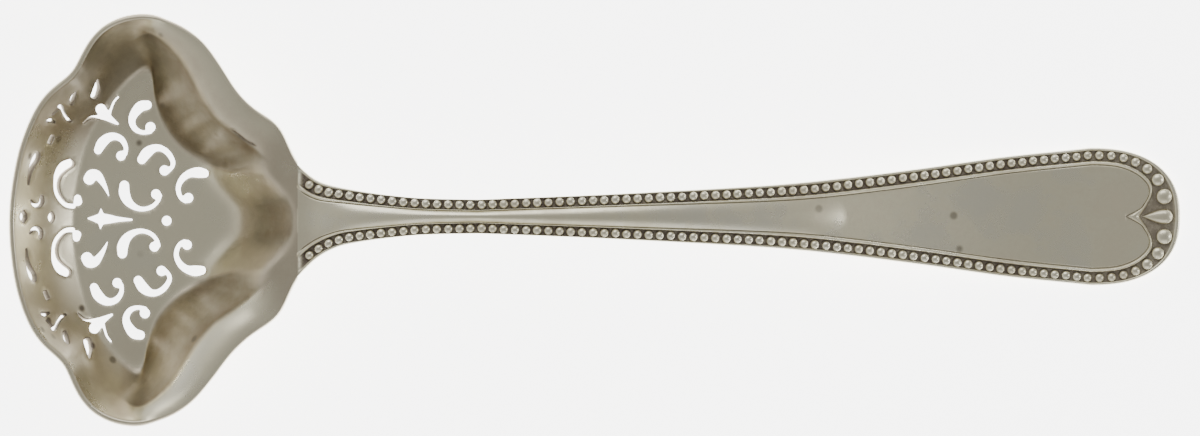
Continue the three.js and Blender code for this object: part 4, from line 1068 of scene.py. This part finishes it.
def build_handle():
    heap = Heap()
    rows = [half_row(part) for part in row_parts()]
    faces = strips(len(rows), len(rows[0]))
    for side in (1, -1):
        heap.add([(x, side * y, z, dirt) for row in rows for x, y, z, dirt in row], faces)
        for at, bead in bead_places():
            height = BEAD_HEIGHT * math.sqrt(bead / BEAD) * random.uniform(*BEAD_HEIGHTS)
            strayed = at + [random.uniform(-BEAD_STRAY, BEAD_STRAY) for _ in range(2)]
            radius = bead / 2 * random.uniform(*BEAD_WIDTHS)
            dome(heap, strayed * [1, side], radius, height, top_height(at[0]) - CHANNEL)
    drop(heap)
    points = np.array(heap.points)
    marks = {"grime_and_shade": points[:, 3], "tarnish_and_painted_light": [FILM] * len(points)}
    thing = make_mesh("handle_blank", set_askew(points), heap.faces, marks)
    cut_at_joint(thing, before=False)
    return thing


HEEL_REACH, HEEL_BACK, HEEL_PROUD, LAP_DEPTH = 5.4, 5.0, 0.35, 0.8
HEEL_WIDTH, HEEL_TOE_WIDTH, HEEL_TOE_THICKNESS, HEEL_SPAN = 6.6, 2.6, 1.3, 0.7
HEEL_ROWS, HEEL_ACROSS, HEEL_FULLNESS, HEEL_GRIME, HEEL_FILM = 30, 17, 0.5, 0.15, 0.2


def build_heel():
    """The tongue under the bowl's ramp. Behind the seam it fades out inside the handle."""
    low = SEAM - HEEL_REACH
    laps = [float(ramp_height(x, 0.0)) - LAP_DEPTH for x in (low, SEAM)]
    points = []
    for i in range(HEEL_ROWS):
        x = mix(low, SEAM + HEEL_BACK, i / (HEEL_ROWS - 1))
        under = min((x - low) / HEEL_REACH, 1)
        behind = max((x - SEAM) / HEEL_BACK, 0)
        lap = mix(laps[0], laps[1], under)
        deep = mix(HEEL_TOE_THICKNESS, ROOT_THICKNESS - LAP_DEPTH + HEEL_PROUD, under)
        bottom = mix(lap - deep, underside(max(x, SEAM)) + HEEL_PROUD, step(behind, 0, 1))
        high = mix(lap + LAP_DEPTH / 2, bottom + HEEL_PROUD, behind)
        wide = mix(HEEL_TOE_WIDTH, HEEL_WIDTH, math.sqrt(under * (2 - under)))
        half_size = min(wide / 2, half_width(max(x, SEAM)) * HEEL_SPAN)
        for k in range(HEEL_ACROSS):
            angle = math.pi * k / (HEEL_ACROSS - 1)
            deeper = (high - bottom) * math.sin(angle) ** HEEL_FULLNESS
            points.append((x, -half_size * fuller(angle, HEEL_FULLNESS), high - deeper))
    last = (HEEL_ROWS - 1) * HEEL_ACROSS
    faces = strips(HEEL_ROWS, HEEL_ACROSS, closed=True)
    faces += [tuple(range(HEEL_ACROSS)), tuple(range(last, last + HEEL_ACROSS))]
    marks = {"grime_and_shade": [HEEL_GRIME] * len(points), "tarnish_and_painted_light": [HEEL_FILM] * len(points)}
    return make_mesh("handle_heel", set_askew(np.array(points)), faces, marks)


handle, heel = build_handle(), build_heel()
handle_silver = silver_material("handle_silver", polish=0.26, cloudiness=0.3, spots=0.6)
for piece in (handle, heel):
    piece.data.materials.append(handle_silver)
    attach(piece, "root")
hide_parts("handle")

# NECK SOLDER
# A thin film of hard silver solder that fills the lap joint between the bowl and the handle's heel.
# It keeps the plain form of the shared model, and shows only as a dull line round the heel.

SOLDER_WEAR = {"polish": 0.42, "cloudiness": 0.3, "spots": 0.2, "least_film": FILM + 0.04}
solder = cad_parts["neck_solder"]
solder.data.materials.clear()
solder.data.materials.append(silver_material("hard_solder", **SOLDER_WEAR, grimy=False))

# TABLE
# A plain table top with a dull white face. It glows a little, so that it is bright enough to show
# no shadow, as in a light tent.

TABLE_SIZE, TABLE_WHITE, TABLE_GLOW, TABLE_DULLNESS = 3, (0.95, 0.95, 0.95, 1), 5.5, 0.9
bpy.ops.mesh.primitive_plane_add(size=TABLE_SIZE, location=(0, 0, 0))
table = bpy.context.object
table.name = "table"
table_material, table_tree = new_material("table_white")
table_shader = node(table_tree, "ShaderNodeBsdfPrincipled", Roughness=TABLE_DULLNESS, **{
    "Base Color": TABLE_WHITE, "Emission Color": (1, 1, 1, 1), "Emission Strength": TABLE_GLOW,
})
node(table_tree, "ShaderNodeOutputMaterial", Surface=table_shader.outputs["BSDF"])
table.data.materials.append(table_material)

# LIGHT
# A soft tent of light, pale at its sides and greyer straight above, and brighter over the bowl than
# over the tip. A large soft light stands on each long side of the spoon, and a small one beyond its
# tip, for the walls that face it.

TENT = [(0.0, 0.9), (0.25, 0.95), (0.5, 0.8), (0.8, 0.54), (0.93, 0.47), (0.99, 0.46)]
TENT_TINT = np.array([1, 0.995, 0.97])
BOWL_END, TIP_END, END_REACH = 1.06, 0.76, 0.9

world = bpy.data.worlds.new("tent")
bpy.context.scene.world = world
world.use_nodes = True
tree = world.node_tree
way = node(tree, "ShaderNodeTexCoord").outputs["Generated"]
way = node(tree, "ShaderNodeSeparateXYZ", Vector=way).outputs
shades = shade_ramp(tree, way["Z"], [(at, TENT_TINT * shade) for at, shade in TENT])
strength = ramp(tree, way["X"], -END_REACH, END_REACH, BOWL_END, TIP_END)
tree.links.new(shades, tree.nodes["Background"].inputs["Color"])
tree.links.new(strength, tree.nodes["Background"].inputs["Strength"])

# Each light's place, its size in metres and its power in watts.
SOFT_LIGHTS = {
    "far_light": ((-0.2, 1.1, 1.1), (1.2, 0.8), 7),
    "near_light": ((0.1, -1.1, 1.0), (1.2, 0.8), 2.5),
    "end_light": ((1.0, 0, 0.62), (0.2, 0.5), 1.8),
}
for name, (place, size, power) in SOFT_LIGHTS.items():
    light_data = bpy.data.lights.new(name, "AREA")
    light_data.shape = "RECTANGLE"
    light_data.size, light_data.size_y = size
    light_data.energy = power
    light = bpy.data.objects.new(name, light_data)
    light.location = place
    light.rotation_euler = (-Vector(place)).to_track_quat("-Z", "Y").to_euler()
    bpy.context.scene.collection.objects.link(light)

# CAMERA
# A metre above the middle of the spoon, looking straight down through a long lens, so that the
# whole spoon fills the width of the view as in the photograph.

CAMERA_PLACE, LENS, SENSOR = (0, -0.0002, 1.0), 217.4, 36
camera_data = bpy.data.cameras.new("camera")
camera_data.lens = LENS
camera_data.sensor_width = SENSOR
camera = bpy.data.objects.new("camera", camera_data)
camera.location = CAMERA_PLACE
bpy.context.scene.collection.objects.link(camera)
bpy.context.scene.camera = camera
